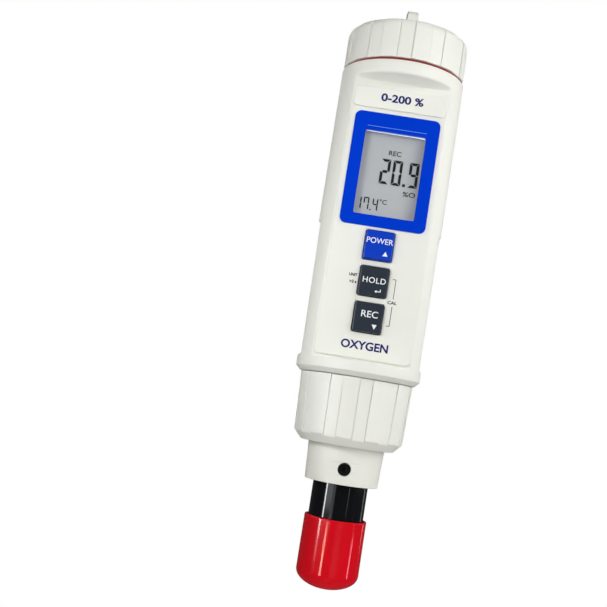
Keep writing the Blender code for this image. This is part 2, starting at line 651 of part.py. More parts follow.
def make_socket():
    """The housing's half of the probe connector, and the ribbon cable from it to the board."""
    profile = [
        (4.3, -17.2), (4.3, -22.2), (12.85, -22.2), (12.85, -20.0), (9.0, -20.0), (9.0, -16.6),
    ]
    add_object("probe_socket", turned([(r * MM, z * MM) for r, z in profile], 32), "holder_plastic")
    route = ((-7.5, -7.0), (-7.5, -13.2), (-6.6, -14.9), (-3.0, -16.0))
    rings = []
    for (y, z), (ny, nz) in zip(route, ((1, 0), (0.95, 0.3), (0.5, 0.86), (0.2, 0.98))):
        ring = []
        for x, side in ((-4, -1), (4, -1), (4, 1), (-4, 1)):
            ring.append((x * MM, (y + 0.2 * side * ny) * MM, (z + 0.2 * side * nz) * MM))
        rings.append(ring)
    add_object("ribbon_cable", loft(rings), "ribbon")


def make_collar():
    """The union nut: it hangs on the neck's flange and screws on the housing's lower spigot."""
    axis = pivot("probe_collar_axis", (0.0, 0.0, COLLAR_TOP_Z))
    bore = LOW_SPIGOT_R + 0.35 * MM
    lip = NECK_R + 0.5 * MM
    rings = [
        grip_ring(COLLAR_TOP_Z, COLLAR_TOP_R - 0.3 * MM, PAD_HEIGHT, COLLAR_PAD_START),
        grip_ring(COLLAR_TOP_Z - 0.3 * MM, COLLAR_TOP_R, PAD_HEIGHT, COLLAR_PAD_START),
        grip_ring(COLLAR_CHAMFER_Z, COLLAR_LOW_R, PAD_HEIGHT, COLLAR_PAD_START),
        grip_ring(COLLAR_BOTTOM_Z + 0.2 * MM, COLLAR_LOW_R - 2.4 * MM, 0.0, COLLAR_PAD_START),
        grip_ring(COLLAR_BOTTOM_Z, COLLAR_LOW_R - 2.8 * MM, 0.0, COLLAR_PAD_START),
        grip_ring(COLLAR_BOTTOM_Z, lip, 0.0, COLLAR_PAD_START),
        grip_ring(LIP_TOP_Z, lip, 0.0, COLLAR_PAD_START),
        grip_ring(LIP_TOP_Z, bore, 0.0, COLLAR_PAD_START),
        grip_ring(COLLAR_TOP_Z, bore, 0.0, COLLAR_PAD_START),
    ]
    add_object("probe_collar", loft(rings, ring_of_rings=True), "white_plastic", axis)


def make_neck(axis):
    """The white neck: a plug with an O-ring groove, a flange for the collar, the barrel's seat."""
    seat = BARREL_R + 0.35 * MM
    groove_r = NECK_PLUG_R - 0.85 * MM
    groove_top = -27.6 * MM
    groove_bottom = -29.0 * MM
    profile = [
        (NECK_BORE_R, NECK_TOP_Z), (NECK_PLUG_R, NECK_TOP_Z),
        (NECK_PLUG_R, groove_top), (groove_r, groove_top),
        (groove_r, groove_bottom), (NECK_PLUG_R, groove_bottom),
        (NECK_PLUG_R, NECK_FLANGE_TOP_Z), (15.4 * MM, NECK_FLANGE_TOP_Z),
        (15.4 * MM, NECK_FLANGE_BOTTOM_Z), (NECK_R, NECK_FLANGE_BOTTOM_Z),
        (NECK_R, COLLAR_BOTTOM_Z), (NECK_END_R, NECK_BOTTOM_Z),
        (seat, NECK_BOTTOM_Z), (seat, BARREL_TOP_Z + FIT_GAP),
        (NECK_BORE_R, BARREL_TOP_Z + FIT_GAP),
    ]
    neck = add_object("sensor_neck", turned(profile, tube=True), "white_plastic", axis)
    combine(neck, "DIFFERENCE", pin_along_y(SCREW_HOLE_R, -14 * MM, -7 * MM, 0.0, SCREW_Z))
    screw = pin_along_y(1.75 * MM, -10.9 * MM, -9.15 * MM, 0.0, SCREW_Z, 16)
    add_object("neck_screw", screw, "chip_black", axis)
    seal = torus(12.5 * MM, 0.42 * MM, (groove_top + groove_bottom) / 2)
    add_object("neck_seal", seal, "seal_black", axis)


def make_neck_inside(axis):
    """The connector plug, whose nose goes into the socket, and the board with the probe's memory."""
    profile = [(3.9, -17.6), (3.9, -22.9), (7.2, -22.9), (7.2, -25.4)]
    add_object("probe_plug", turned([(r * MM, z * MM) for r, z in profile], 24), "holder_plastic", axis)
    board = box(-5.5 * MM, 5.5 * MM, -0.5 * MM, 0.5 * MM, -44.0 * MM, -26.0 * MM)
    add_object("probe_board", board, "board_green", axis)


def make_barrel(axis):
    """The black barrel with its threaded nose, and the electrodes and temperature sensor in it."""
    profile = [
        (6.8 * MM, BARREL_TOP_Z), (BARREL_R, BARREL_TOP_Z), (BARREL_R, BARREL_SHOULDER_Z),
        (NOSE_R, BARREL_SHOULDER_Z), (NOSE_R, NOSE_Z), (4.3 * MM, NOSE_Z),
        (4.3 * MM, -72.0 * MM), (6.8 * MM, -72.0 * MM),
    ]
    add_object("probe_barrel", turned(profile, 40, tube=True), "barrel_black", axis)
    tubes = {
        "electrode_stem": (1.3, 2.7, -58.0, -81.8, "film"),
        "anode": (2.95, 3.95, -63.0, -81.0, "zinc"),
    }
    for name, (inner, outer, top, bottom, finish) in tubes.items():
        loop = [(inner, top), (outer, top), (outer, bottom), (inner, bottom)]
        tube = turned([(r * MM, z * MM) for r, z in loop], SMALL_SEGMENTS, tube=True)
        add_object(name, tube, finish, axis)
    cathode = turned([(1.0 * MM, -60.0 * MM), (1.0 * MM, -82.0 * MM)], 12)
    add_object("cathode", cathode, "gold", axis)
    profile = [(1.1 * MM, -55.0 * MM), (1.1 * MM, -70.7 * MM), (0.6 * MM, -71.3 * MM)]
    sensor = turned(profile, 12, (5.35 * MM, 0.0))
    add_object("temperature_sensor", sensor, "bright_metal", axis)


def make_membrane_head():
    """The screw-on head that holds the membrane, with the seal above it."""
    seal_axis = pivot("membrane_seal_axis", (0.0, 0.0, BARREL_SHOULDER_Z))
    seal_z = (BARREL_SHOULDER_Z + HEAD_TOP_Z) / 2
    add_object("membrane_seal", torus(7.75 * MM, 0.38 * MM, seal_z), "seal_black", seal_axis)
    head_axis = pivot("membrane_head_axis", (0.0, 0.0, HEAD_TOP_Z))
    bore = NOSE_R + 0.35 * MM
    floor = -82.4 * MM
    profile = [
        (bore, HEAD_TOP_Z), (HEAD_R, HEAD_TOP_Z), (HEAD_R, HEAD_BOTTOM_Z + 1.3 * MM),
        (HEAD_R - 0.5 * MM, HEAD_BOTTOM_Z + 0.4 * MM), (HEAD_R - 1.4 * MM, HEAD_BOTTOM_Z),
        (3.2 * MM, HEAD_BOTTOM_Z), (3.2 * MM, floor), (bore, floor),
    ]
    add_object("membrane_head", turned(profile, 32, tube=True), "barrel_black", head_axis)
    film = turned([(4.2 * MM, floor + FACE_GAP), (4.2 * MM, floor + 0.25 * MM)], SMALL_SEGMENTS)
    add_object("membrane_film", film, "film", head_axis)


def make_protective_cap():
    """The soft red cap: a straight sleeve whose end is half of an ellipse."""
    axis = pivot("protective_cap_axis", (0.0, 0.0, RED_CAP_TOP_Z))
    wall = RED_CAP_R - RED_CAP_BORE_R
    outer_depth = RED_CAP_BEND_Z - RED_CAP_BOTTOM_Z
    profile = []
    angles = [math.radians(a) for a in (6, 25, 43, 59, 75, 90)]
    for a in angles:
        profile.append((RED_CAP_R * math.sin(a), RED_CAP_BEND_Z - outer_depth * math.cos(a)))
    profile.append((RED_CAP_R, RED_CAP_TOP_Z))
    profile.append((RED_CAP_BORE_R, RED_CAP_TOP_Z))
    inner_depth = outer_depth - wall
    for a in reversed(angles):
        profile.append((RED_CAP_BORE_R * math.sin(a), RED_CAP_BEND_Z - inner_depth * math.cos(a)))
    add_object("protective_cap", turned(profile, 36), "cap_red", axis)


def main():
    clear_scene()
    make_housing()
    make_name_plate()
    make_front_panel()
    make_bezel()
    make_display()
    make_keys()
    make_board()
    make_battery_holder()
    make_cells()
    make_lower_contacts()
    make_cap_seal()
    make_contact_plate()
    make_battery_cap()
    make_socket()
    make_collar()
    module_axis = pivot("sensor_module_axis", (0.0, 0.0, NECK_TOP_Z))
    make_neck(module_axis)
    make_neck_inside(module_axis)
    make_barrel(module_axis)
    make_membrane_head()
    make_protective_cap()


main()
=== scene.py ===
"""Looks of a dissolved-oxygen pen meter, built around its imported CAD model.

Shapes are drawn in millimetres and stored in metres. +Z runs up the pen, -Y is the face with the
display and +X is to the reader's right. Angles around the pen are in degrees from the front,
towards +X.
"""

import json
import math

import bmesh
import bpy
from mathutils import Euler, Matrix, Vector, noise


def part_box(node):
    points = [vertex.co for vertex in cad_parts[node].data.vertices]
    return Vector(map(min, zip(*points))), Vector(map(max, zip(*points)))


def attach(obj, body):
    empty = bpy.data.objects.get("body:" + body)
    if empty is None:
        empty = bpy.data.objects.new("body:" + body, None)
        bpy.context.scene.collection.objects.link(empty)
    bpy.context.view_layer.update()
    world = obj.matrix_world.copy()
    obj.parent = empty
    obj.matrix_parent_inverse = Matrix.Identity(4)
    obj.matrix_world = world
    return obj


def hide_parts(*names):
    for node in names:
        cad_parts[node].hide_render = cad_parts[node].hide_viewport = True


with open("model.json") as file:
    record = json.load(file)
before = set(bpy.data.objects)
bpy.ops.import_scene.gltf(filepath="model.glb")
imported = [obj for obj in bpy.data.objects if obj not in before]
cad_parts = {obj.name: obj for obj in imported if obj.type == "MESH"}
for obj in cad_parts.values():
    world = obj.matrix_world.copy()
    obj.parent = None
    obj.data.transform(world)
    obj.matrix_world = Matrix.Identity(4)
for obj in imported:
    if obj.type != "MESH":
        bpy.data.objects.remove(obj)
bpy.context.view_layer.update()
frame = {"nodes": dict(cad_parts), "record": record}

MM = 0.001
SLOT_OF = {part["node"]: part["material_slot"] for part in frame["record"]["subparts"]}


def low(node):
    """A CAD node's lowest corner in millimetres."""
    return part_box(node)[0] / MM


def high(node):
    """A CAD node's highest corner in millimetres."""
    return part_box(node)[1] / MM


def ends(node):
    """The heights of a CAD node's two ends in millimetres."""
    return low(node).z, high(node).z


def middle(node):
    return sum(ends(node)) / 2


def sine(degrees):
    return math.sin(math.radians(degrees))


def cosine(degrees):
    return math.cos(math.radians(degrees))


def add_object(name, data):
    made = bpy.data.objects.new(name, data)
    bpy.context.scene.collection.objects.link(made)
    return made


# ---- driving dimensions, mm

# Housing.
BODY_R = high("housing").x
WALL = 2.0
FRONT_FLAT = 12.8
BACK_FLAT = 18.3
SIDE_FLAT_TOP = 19.3
SIDE_FLAT_BOTTOM = 18.9
RIM_TOP = 77.9
RIM_BOTTOM = 73.6
FACE_TOP = 72.5
GRIP_TOP = 27.35
GRIP_STEP = 0.35
FACE_BOTTOM = -16.3
FLANGE_TOP = -16.9
FLANGE_BOTTOM = -21.6
TOP_SPIGOT_R = 17.0
BATTERY_BORE_R = 15.7
LOW_SPIGOT_R = 15.6
LOW_SPIGOT_BOTTOM, TOP_SPIGOT_TOP = ends("housing")
LOW_BORE_R = 13.2
THREAD_LEAD = 4.0
THREAD_STARTS = 2
THREAD_DEPTH = 0.55
THREAD_CREST = 0.15

# Grip pads of the battery cap and the collar.
GRIP_PADS = 12
PAD_ANGLE = 16.4
PAD_WALL_ANGLE = 0.9
PAD_HEIGHT = 0.35
CAP_PAD_START = 2.6
COLLAR_PAD_START = 15.2

# Battery cap.
CAP_R = 19.8
CAP_BOTTOM, EYE_TOP = ends("battery_cap")
CAP_TOP = 92.0
CAP_EDGE_R = 3.0
CAP_ROOF = 90.2
CAP_BORE_R = TOP_SPIGOT_R + 0.35
EYE_WIDTH = 3.9
EYE_DEPTH = 9.6
EYE_HOLE_R = 2.0

# Front panel, bezel and display. TONGUE and WINDOW are half a width, the bottom and the top.
PANEL_FACE = low("front_panel").y
PANEL_BACK = -11.6
TONGUE = (13.8, -11.2, 62.0)
BEZEL_FACE = low("display_bezel").y
BEZEL_BACK = high("display_bezel").y
BEZEL_BOTTOM, BEZEL_TOP = ends("display_bezel")
WINDOW = (9.6, 29.1, 56.1)
LENS_FACE = low("display_window").y
LCD_FACE = low("lcd_glass").y

# Keys.
KEYS = ("power", "hold", "record")
KEY_HALF_WIDTH = 4.5
KEY_HALF_HEIGHT = 4.65
KEY_CORNER_R = 0.6
KEY_GAP = 0.2
KEY_FACE = low("power_key").y
KEY_FLANGE_FRONT = -11.2
KEY_FLANGE_BACK = high("power_key").y

# Collar, neck, barrel, membrane head and protective cap.
COLLAR_TOP = high("probe_collar").z + 0.22
COLLAR_BOTTOM = low("probe_collar").z
COLLAR_CHAMFER = -40.4
COLLAR_TOP_R = 18.0
COLLAR_LOW_R = 17.4
COLLAR_BORE_R = LOW_SPIGOT_R + 0.35
LIP_TOP = -36.8
NECK_BOTTOM, NECK_TOP = ends("sensor_neck")
NECK_PLUG_R = 12.7
NECK_R = 12.2
NECK_END_R = 11.65
NECK_BORE_R = 7.5
NECK_FLANGE = (15.4, -34.4, -36.5)
GROOVE = (-27.6, -29.0, 0.85)
SCREW_Z = middle("neck_screw")
SCREW_R = high("neck_screw").x
SCREW_HOLE_R = 2.03
SOCKET_R = 0.95
WITNESS_ANGLE = 26.0
WITNESS_DEPTH = 0.12
WITNESS_HALF = 0.1
BARREL_R = high("probe_barrel").x
NOSE_END, BARREL_TOP = ends("probe_barrel")
BARREL_SHOULDER = -77.0
NOSE_R = 6.9
HEAD_R = high("membrane_head").x
HEAD_BOTTOM, HEAD_TOP = ends("membrane_head")
HEAD_FLOOR = -82.4
FLUTES = 24
FLUTE_DEPTH = 0.28
RED_R = high("protective_cap").x
RED_BOTTOM, RED_TOP = ends("protective_cap")
RED_BEND = -83.0
RED_WALL = 0.8

# The gap between a print and the surface it lies on, and a print's thickness.
PRINT_GAP = 0.004
PRINT_THICKNESS = 0.02


# ---- shader nodes

MATERIALS = {}
EVEN = (1.0, 1.0, 1.0)


def feed(tree, socket, value):
    """Link another socket to this one, or set its plain value."""
    if isinstance(value, bpy.types.NodeSocket):
        tree.links.new(value, socket)
    else:
        socket.default_value = value


def feed_shader(tree, shader, **sockets):
    for key, value in sockets.items():
        feed(tree, shader.inputs[key.replace("_", " ")], value)


def add_node(tree, kind, *inputs, **settings):
    """A shader node, with its inputs in order or by name, and its properties by name."""
    made = tree.nodes.new("ShaderNode" + kind)
    for key, value in settings.items():
        if hasattr(made, key):
            setattr(made, key, value)
        else:
            feed(tree, made.inputs[key.replace("_", " ").title()], value)
    for socket, value in zip(made.inputs, inputs):
        feed(tree, socket, value)
    return made


def scaled(colour, factor):
    return (*[min(1.0, channel * factor) for channel in colour], 1.0)


def empty_material(name):
    """A new material with a Principled shader; returns its tree and the shader."""
    made = bpy.data.materials.new(name)
    made.use_nodes = True
    MATERIALS[name] = made
    return made.node_tree, made.node_tree.nodes["Principled BSDF"]


def mix_surfaces(tree, share, first, second):
    """Send a mix of two shaders to the tree's output."""
    mix = add_node(tree, "MixShader", share, first.outputs[0], second.outputs[0])
    output = next(node for node in tree.nodes if node.type.startswith("OUTPUT"))
    tree.links.new(mix.outputs[0], output.inputs["Surface"])


def object_place(tree):
    return add_node(tree, "TexCoord").outputs["Object"]


def noise_of(tree, scale, detail=3.0, stretch=EVEN):
    """Noise fixed to the piece, with its scale in features per metre."""
    mapping = add_node(tree, "Mapping", Vector=object_place(tree), Scale=stretch)
    texture = add_node(tree, "TexNoise", Vector=mapping.outputs[0], Scale=scale, Detail=detail)
    return texture.outputs["Fac"]


def spread(tree, value, from_low, from_high, to_low, to_high):
    """Map a value from one range to another."""
    return add_node(tree, "MapRange", value, from_low, from_high, to_low, to_high).outputs[0]


def wander(tree, scale, lowest, highest, detail=3.0, stretch=EVEN):
    """A value that wanders between two limits across the surface."""
    return spread(tree, noise_of(tree, scale, detail, stretch), 0.3, 0.7, lowest, highest)


def blend_colours(tree, factor, first, second):
    """A colour between two, each a socket or a plain colour."""
    node = add_node(tree, "Mix", factor, data_type="RGBA")
    a, b, result = [socket for socket in (*node.inputs, *node.outputs) if socket.type == "RGBA"]
    feed(tree, a, first)
    feed(tree, b, second)
    return result


def add_bump(tree, shader, value, depth):
    """Raise the surface by value times depth millimetres."""
    bump = add_node(tree, "Bump", Distance=depth * MM, Height=value)
    tree.links.new(bump.outputs["Normal"], shader.inputs["Normal"])


# ---- materials

def moulded(name, colour, roughness, shade=0.03, patch=45.0, grain=2500.0, depth=0.004,
        stretch=EVEN, **sockets):
    """A solid finish with slight mottling, an uneven sheen and a fine grain."""
    tree, shader = empty_material(name)
    patches = noise_of(tree, patch, 4.0, stretch)
    colours = blend_colours(tree, patches, scaled(colour, 1 - shade), scaled(colour, 1 + shade))
    rough = wander(tree, grain / 6, roughness * 0.82, min(1.0, roughness * 1.18), stretch=stretch)
    add_bump(tree, shader, noise_of(tree, grain, 2.0, stretch), depth)
    feed_shader(tree, shader, Base_Color=colours, Roughness=rough, **sockets)


def make_window_material():
    """Thin clear acrylic that light goes straight through, with a little gloss."""
    tree, shader = empty_material("window_clear")
    tree.nodes.remove(shader)
    through = add_node(tree, "BsdfTransparent", Color=(0.97, 0.98, 0.98, 1.0))
    gloss = add_node(tree, "BsdfGlossy", Roughness=0.03)
    # The mirrored share of the light: 4% seen square on, and all of it along the surface.
    facing = add_node(tree, "LayerWeight", Blend=0.5).outputs["Facing"]
    steep = add_node(tree, "Math", facing, 5.0, operation="POWER").outputs[0]
    mirrored = spread(tree, steep, 0.0, 1.0, 0.04, 1.0)
    smear = wander(tree, 120.0, 0.75, 1.0, 4.0)
    share = add_node(tree, "Math", mirrored, smear, operation="MULTIPLY").outputs[0]
    mix_surfaces(tree, share, through, gloss)


def make_board_material():
    """Green solder mask with copper tracks under it."""
    tree, shader = empty_material("circuit_board")
    upright = add_node(tree, "Mapping", Vector=object_place(tree),
        Rotation=(math.radians(90), 0.0, 0.0))
    tracks = add_node(tree, "TexBrick", offset=0.35, squash=1.6, squash_frequency=3,
        Vector=upright.outputs[0], Color1=(0.006, 0.085, 0.028, 1),
        Color2=(0.008, 0.10, 0.034, 1), Mortar=(0.02, 0.19, 0.06, 1), Scale=260.0,
        Mortar_Size=0.06, Brick_Width=0.9, Row_Height=0.28)
    feed_shader(tree, shader, Base_Color=tracks.outputs["Color"], Roughness=wander(tree, 400.0, 0.32, 0.45))
    add_bump(tree, shader, tracks.outputs["Fac"], 0.03)


def make_wrap_material():
    """A cell's shrink wrap: dark green with a lighter band round its upper end."""
    tree, shader = empty_material("battery_wrap")
    parts = add_node(tree, "SeparateXYZ", object_place(tree))
    centre = middle("battery_cell_1") * MM
    band = spread(tree, parts.outputs["Z"], centre + 8 * MM, centre + 8.3 * MM, 0.0, 1.0)
    mottled = blend_colours(tree, noise_of(tree, 90.0), (0.02, 0.085, 0.045, 1), (0.03, 0.11, 0.06, 1))
    colours = blend_colours(tree, band, mottled, (0.33, 0.34, 0.33, 1))
    feed_shader(tree, shader, Base_Color=colours, Roughness=wander(tree, 500.0, 0.22, 0.34), Coat_Weight=0.4)


def make_materials():
    """A finish for each slot of the record, and for the prints."""
    white = (0.820, 0.825, 0.765)
    moulded("housing_white", white, 0.42, shade=0.008)
    moulded("cap_white", white, 0.42, shade=0.008)
    moulded("collar_white", white, 0.42, shade=0.010)
    moulded("neck_white", (0.80, 0.80, 0.73), 0.45, shade=0.010)
    moulded("blue_gloss", (0.0006, 0.039, 0.575), 0.16, shade=0.04, depth=0.001,
        Specular_IOR_Level=0.3, Specular_Tint=(0.1, 0.35, 1.0, 1.0))
    moulded("key_blue", (0.002, 0.043, 0.49), 0.2, shade=0.02, depth=0.002)
    moulded("key_slate", (0.026, 0.034, 0.047), 0.2, shade=0.02, depth=0.002)
    make_window_material()
    # The faint emission is painted light: it lifts the recessed display glass evenly, as if it were lit from
    # the front, though a real display does not glow.
    moulded("lcd_grey", (0.515, 0.52, 0.53), 0.55, shade=0.02, patch=60.0, depth=0.002,
        Emission_Color=(0.97, 0.98, 1.0, 1.0), Emission_Strength=0.06)
    moulded("black_nylon", (0.035, 0.035, 0.037), 0.5, shade=0.1)
    moulded("conductive_rubber", (0.24, 0.06, 0.06), 0.7, shade=0.15, grain=4000.0, stretch=(6.0, 1.0, 1.0))
    make_board_material()
    moulded("chip_epoxy", (0.012, 0.012, 0.014), 0.5, shade=0.15, depth=0.01)
    moulded("screw_black", (0.012, 0.013, 0.015), 0.3, shade=0.2, Metallic=0.6)
    moulded("red_rubber", (0.26, 0.012, 0.012), 0.45, shade=0.12, depth=0.008)
    moulded("black_rubber", (0.012, 0.012, 0.012), 0.6, shade=0.2, depth=0.01)
    moulded("barrel_black", (0.0045, 0.005, 0.006), 0.08, shade=0.15, depth=0.0006, Specular_IOR_Level=0.35)
    moulded("red_vinyl", (0.64, 0.0022, 0.010), 0.11, shade=0.06, patch=110.0, grain=700.0, depth=0.002)
    moulded("white_polymer", (0.78, 0.77, 0.73), 0.35)
    moulded("clear_film", (0.72, 0.72, 0.70), 0.2, depth=0.001)
    moulded("gold", (0.83, 0.55, 0.19), 0.25, shade=0.05, Metallic=1.0)
    moulded("zinc", (0.42, 0.43, 0.45), 0.5, shade=0.15, Metallic=1.0)
    moulded("grey_cable", (0.30, 0.30, 0.31), 0.5, grain=900.0, stretch=(8.0, 0.3, 0.3))
    make_wrap_material()
    moulded("switch_metal", (0.55, 0.55, 0.56), 0.3, shade=0.06, Metallic=1.0)
    moulded("steel", (0.60, 0.60, 0.61), 0.24, shade=0.06, grain=1500.0, stretch=(1, 1, 6), Metallic=1.0)
    moulded("print_navy", (0.004, 0.007, 0.12), 0.4, shade=0.1)
    moulded("print_grey", (0.03, 0.033, 0.04), 0.5, shade=0.1)
    moulded("print_pale", (0.80, 0.84, 0.86), 0.35, shade=0.04)
    moulded("print_line", (0.10, 0.24, 0.66), 0.3, shade=0.04)
    # A pale finish that glows: a painted glint for the strip along the window's top edge.
    moulded("painted_glint", (0.70, 0.76, 0.92), 0.2, shade=0.05,
        Emission_Color=(0.8, 0.9, 1.0, 1.0), Emission_Strength=0.3)
    moulded("lcd_ink", (0.010, 0.010, 0.012), 0.45, shade=0.1)
    moulded("lcd_faint", (0.035, 0.037, 0.042), 0.45, shade=0.1)


def paint_nodes():
    """Give each CAD node its slot's finish."""
    for name, node in frame["nodes"].items():
        node.data.materials.clear()
        node.data.materials.append(MATERIALS[SLOT_OF[name]])


# ---- pieces from meshes

def smooth_object(name, shape):
    """An object from a bmesh in millimetres."""
    bmesh.ops.recalc_face_normals(shape, faces=shape.faces)
    mesh = bpy.data.meshes.new(name)
    shape.to_mesh(mesh)
    shape.free()
    mesh.transform(Matrix.Scale(MM, 4))
    mesh.shade_smooth()
    return add_object(name, mesh)


def piece(name, shape, body, finish, *replaced, sharp=40.0):
    """Make a bmesh a piece that rides on a body, in place of CAD nodes."""
    made = smooth_object(name, shape)
    made.data.set_sharp_from_angle(angle=math.radians(sharp))
    made.data.materials.append(MATERIALS[finish])
    normals = made.modifiers.new("flat_faces_stay_flat", "WEIGHTED_NORMAL")
    normals.keep_sharp = True
    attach(made, body)
    if replaced:
        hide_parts(*replaced)
    return made


def cut(target, shape):
    """Cut a shape out of a piece for good."""
    tool = smooth_object("tool", shape)
    step = target.modifiers.new("cut", "BOOLEAN")
    step.operation = "DIFFERENCE"
    step.solver = "EXACT"
    step.object = tool
    with bpy.context.temp_override(object=target, active_object=target):
        bpy.ops.object.modifier_move_to_index(modifier="cut", index=0)
        bpy.ops.object.modifier_apply(modifier="cut")
    bpy.data.objects.remove(tool, do_unlink=True)
    target.data.set_sharp_from_angle(angle=math.radians(40))


# ---- outlines and skins

def softened(points):
    """A closed outline of (a, b, corner radius) points, with its corners rounded."""
    outline = []
    for i, (a, b, radius) in enumerate(points):
        here = Vector((a, b))
        back = Vector(points[i - 1][:2]) - here
        ahead = Vector(points[(i + 1) % len(points)][:2]) - here
        half = back.angle(ahead) / 2
        if radius <= 0 or half > math.radians(88):
            outline.append((a, b))
            continue
        reach = min(radius / math.tan(half), 0.48 * back.length, 0.48 * ahead.length)
        radius = reach * math.tan(half)
        back.normalize()
        ahead.normalize()
        centre = here + (back + ahead).normalized() * (radius / math.sin(half))
        first = here + back * reach - centre
        last = here + ahead * reach - centre
        start = math.atan2(first.y, first.x)
        turn = (math.atan2(last.y, last.x) - start + math.pi) % (2 * math.pi) - math.pi
        steps = max(2, math.ceil(abs(turn) / math.radians(18)))
        for k in range(steps + 1):
            angle = start + turn * k / steps
            outline.append((centre.x + radius * math.cos(angle), centre.y + radius * math.sin(angle)))
    return outline


def between(start, end, steps):
    """The points of a straight line after its start, up to its end."""
    return [tuple(a + (b - a) * i / steps for a, b in zip(start, end)) for i in range(1, steps + 1)]


def bridge(shape, first, second):
    """Quads between two loops of vertices with equal counts."""
    for i in range(len(first)):
        j = (i + 1) % len(first)
        shape.faces.new((first[i], first[j], second[j], second[i]))


def loops_of(shape, rings):
    """A loop of vertices for each ring of points."""
    return [[shape.verts.new(point) for point in ring] for ring in rings]


def skin(rings, closed=True):
    """Join a row of rings with equal point counts, end to end or with filled ends."""
    shape = bmesh.new()
    loops = loops_of(shape, rings)
    if not closed:
        shape.faces.new(loops[0])
        shape.faces.new(loops[-1])
    for first, second in zip(loops, loops[1:]):
        bridge(shape, first, second)
    if closed:
        bridge(shape, loops[-1], loops[0])
    return shape


def solid(rings):
    return skin(rings, closed=False)


def circle(segments):
    return [360.0 * i / segments for i in range(segments)]


def around(angle, radius, z):
    """The point at an angle from the front, at a distance from the axis."""
    return (radius * sine(angle), -radius * cosine(angle), z)


def turned(profile, segments, reach=None):
    """Turn a closed profile of (radius, z) points. reach may change a radius."""
    return skin([[around(angle, reach(angle, radius, z) if reach else radius, z)
        for angle in circle(segments)] for radius, z in profile])


def torus(major, minor, z, segments=160, flatten=1.0):
    """An O-ring, which may be squeezed along its axis."""
    section = [(major + minor * cosine(a), z + flatten * minor * sine(a)) for a in circle(20)]
    return turned(section, segments)


def rounded_rectangle(half_width, bottom, top, y, corner):
    """A ring in a plane that faces the reader, with rounded corners and split sides."""
    corner = max(corner, 0.02)
    right, upper, lower = half_width - corner, top - corner, bottom + corner
    arcs = []
    for x, z, start in ((right, upper, 0), (-right, upper, 90), (-right, lower, 180), (right, lower, 270)):
        turns = [start + 90 * i / 8 for i in range(9)]
        arcs.append([(x + corner * cosine(a), y, z + corner * sine(a)) for a in turns])
    ring = []
    for arc, following in zip(arcs, arcs[1:] + arcs[:1]):
        last, first = Vector(arc[-1]), Vector(following[0])
        ring += arc + [tuple(last.lerp(first, share)) for share in (0.25, 0.5, 0.75)]
    return ring


def slab(half_width, bottom, top, corner, profile):
    """A ring of the rounded rectangle for each (inset, y) point of an edge profile."""
    return [rounded_rectangle(half_width - inset, bottom + inset, top - inset, y, corner - inset)
        for inset, y in profile]


def node_slab(node, corner, profile):
    """A slab as wide and as high as a CAD node."""
    return slab(high(node).x, *ends(node), corner, profile)


def edge_arc(radius, y):
    """(inset, y) points of a quarter-round edge that ends on the face at y."""
    return [(radius * (1 - cosine(a)), y + radius * (1 - sine(a))) for a in (0.0, 22.5, 45.0, 67.5, 90.0)]


def hole_edge(radius, y):
    """(inset, y) points of a quarter-round edge that starts on the face at y, round a hole."""
    return [(-inset, y) for inset, y in reversed(edge_arc(radius, y))]


def plate_with_holes(outer_rings, holes):
    """A plate from its outer rings, front to back, and the rings of each hole."""
    shape = bmesh.new()
    ends = ([], [])
    for rings in [outer_rings, *holes]:
        loops = loops_of(shape, rings)
        for first, second in zip(loops, loops[1:]):
            bridge(shape, first, second)
        for end, loop in zip(ends, (loops[0], loops[-1])):
            for i, vert in enumerate(loop):
                end.append(shape.edges.get((vert, loop[(i + 1) % len(loop)])))
    for end in ends:
        bmesh.ops.triangle_fill(shape, edges=end, use_beauty=True, use_dissolve=False)
    return shape


def screw_ring(reach, y, segments=48):
    """A ring round the neck screw's axis, at a distance that may change by angle."""
    radii = [(angle, reach(angle) if callable(reach) else reach) for angle in circle(segments)]
    return [(radius * sine(angle), y, SCREW_Z + radius * cosine(angle)) for angle, radius in radii]


def thread(angle, z, bottom, top, lead, starts, depth):
    """How far a thread's surface lies under its crest. The thread fades out at both ends."""
    turns = (z / lead * starts - angle / 360.0 * starts) % 1.0
    ridge = min(1.0, max(0.0, 2.6 * abs(turns - 0.5) - 0.28))
    fade = min(1.0, max(0.0, min(z - bottom, top - z) / 0.8))
    return depth * ridge * fade


# ---- housing

def soft_minimum(values, blend):
    """The smallest value, eased where two are close, which rounds the corner there."""
    result = values[0]
    for value in values[1:]:
        nearness = max(blend - abs(result - value), 0.0) / blend
        result = min(result, value) - nearness * nearness * blend / 4
    return result


def body_angles():
    """Angles of a housing ring, close together at the corners of the flats."""
    corners = []
    for flat, offset in ((FRONT_FLAT, 0), (SIDE_FLAT_TOP, 90), (SIDE_FLAT_BOTTOM, 90), (BACK_FLAT, 180)):
        half = math.degrees(math.acos(flat / BODY_R))
        corners += [offset - half, offset + half]
    corners = sorted({round(abs(corner), 3) for corner in corners})
    near = (-3.0, -2.0, -1.3, -0.8, -0.4, 0.0, 0.4, 0.8, 1.3, 2.0, 3.0)
    wanted = sorted([2.5 * i for i in range(73)] + [corner + step for corner in corners for step in near])
    half_ring = []
    for angle in wanted:
        if 0 <= angle <= 180 and (not half_ring or angle - half_ring[-1] > 0.3):
            half_ring.append(angle)
    return half_ring + [360 - angle for angle in reversed(half_ring) if 0 < angle < 179.7]


def flats_reach(angle, radius, front, side, back, blend):
    """Distance from the axis to a circle cut by flats at the front, sides and back."""
    across, along = cosine(angle), abs(sine(angle))
    cuts = [radius]
    if front and across > 0.2:
        cuts.append(front / across)
    if back and across < -0.2:
        cuts.append(-back / across)
    if side and along > 0.3:
        cuts.append(side / along)
    return soft_minimum(cuts, blend)


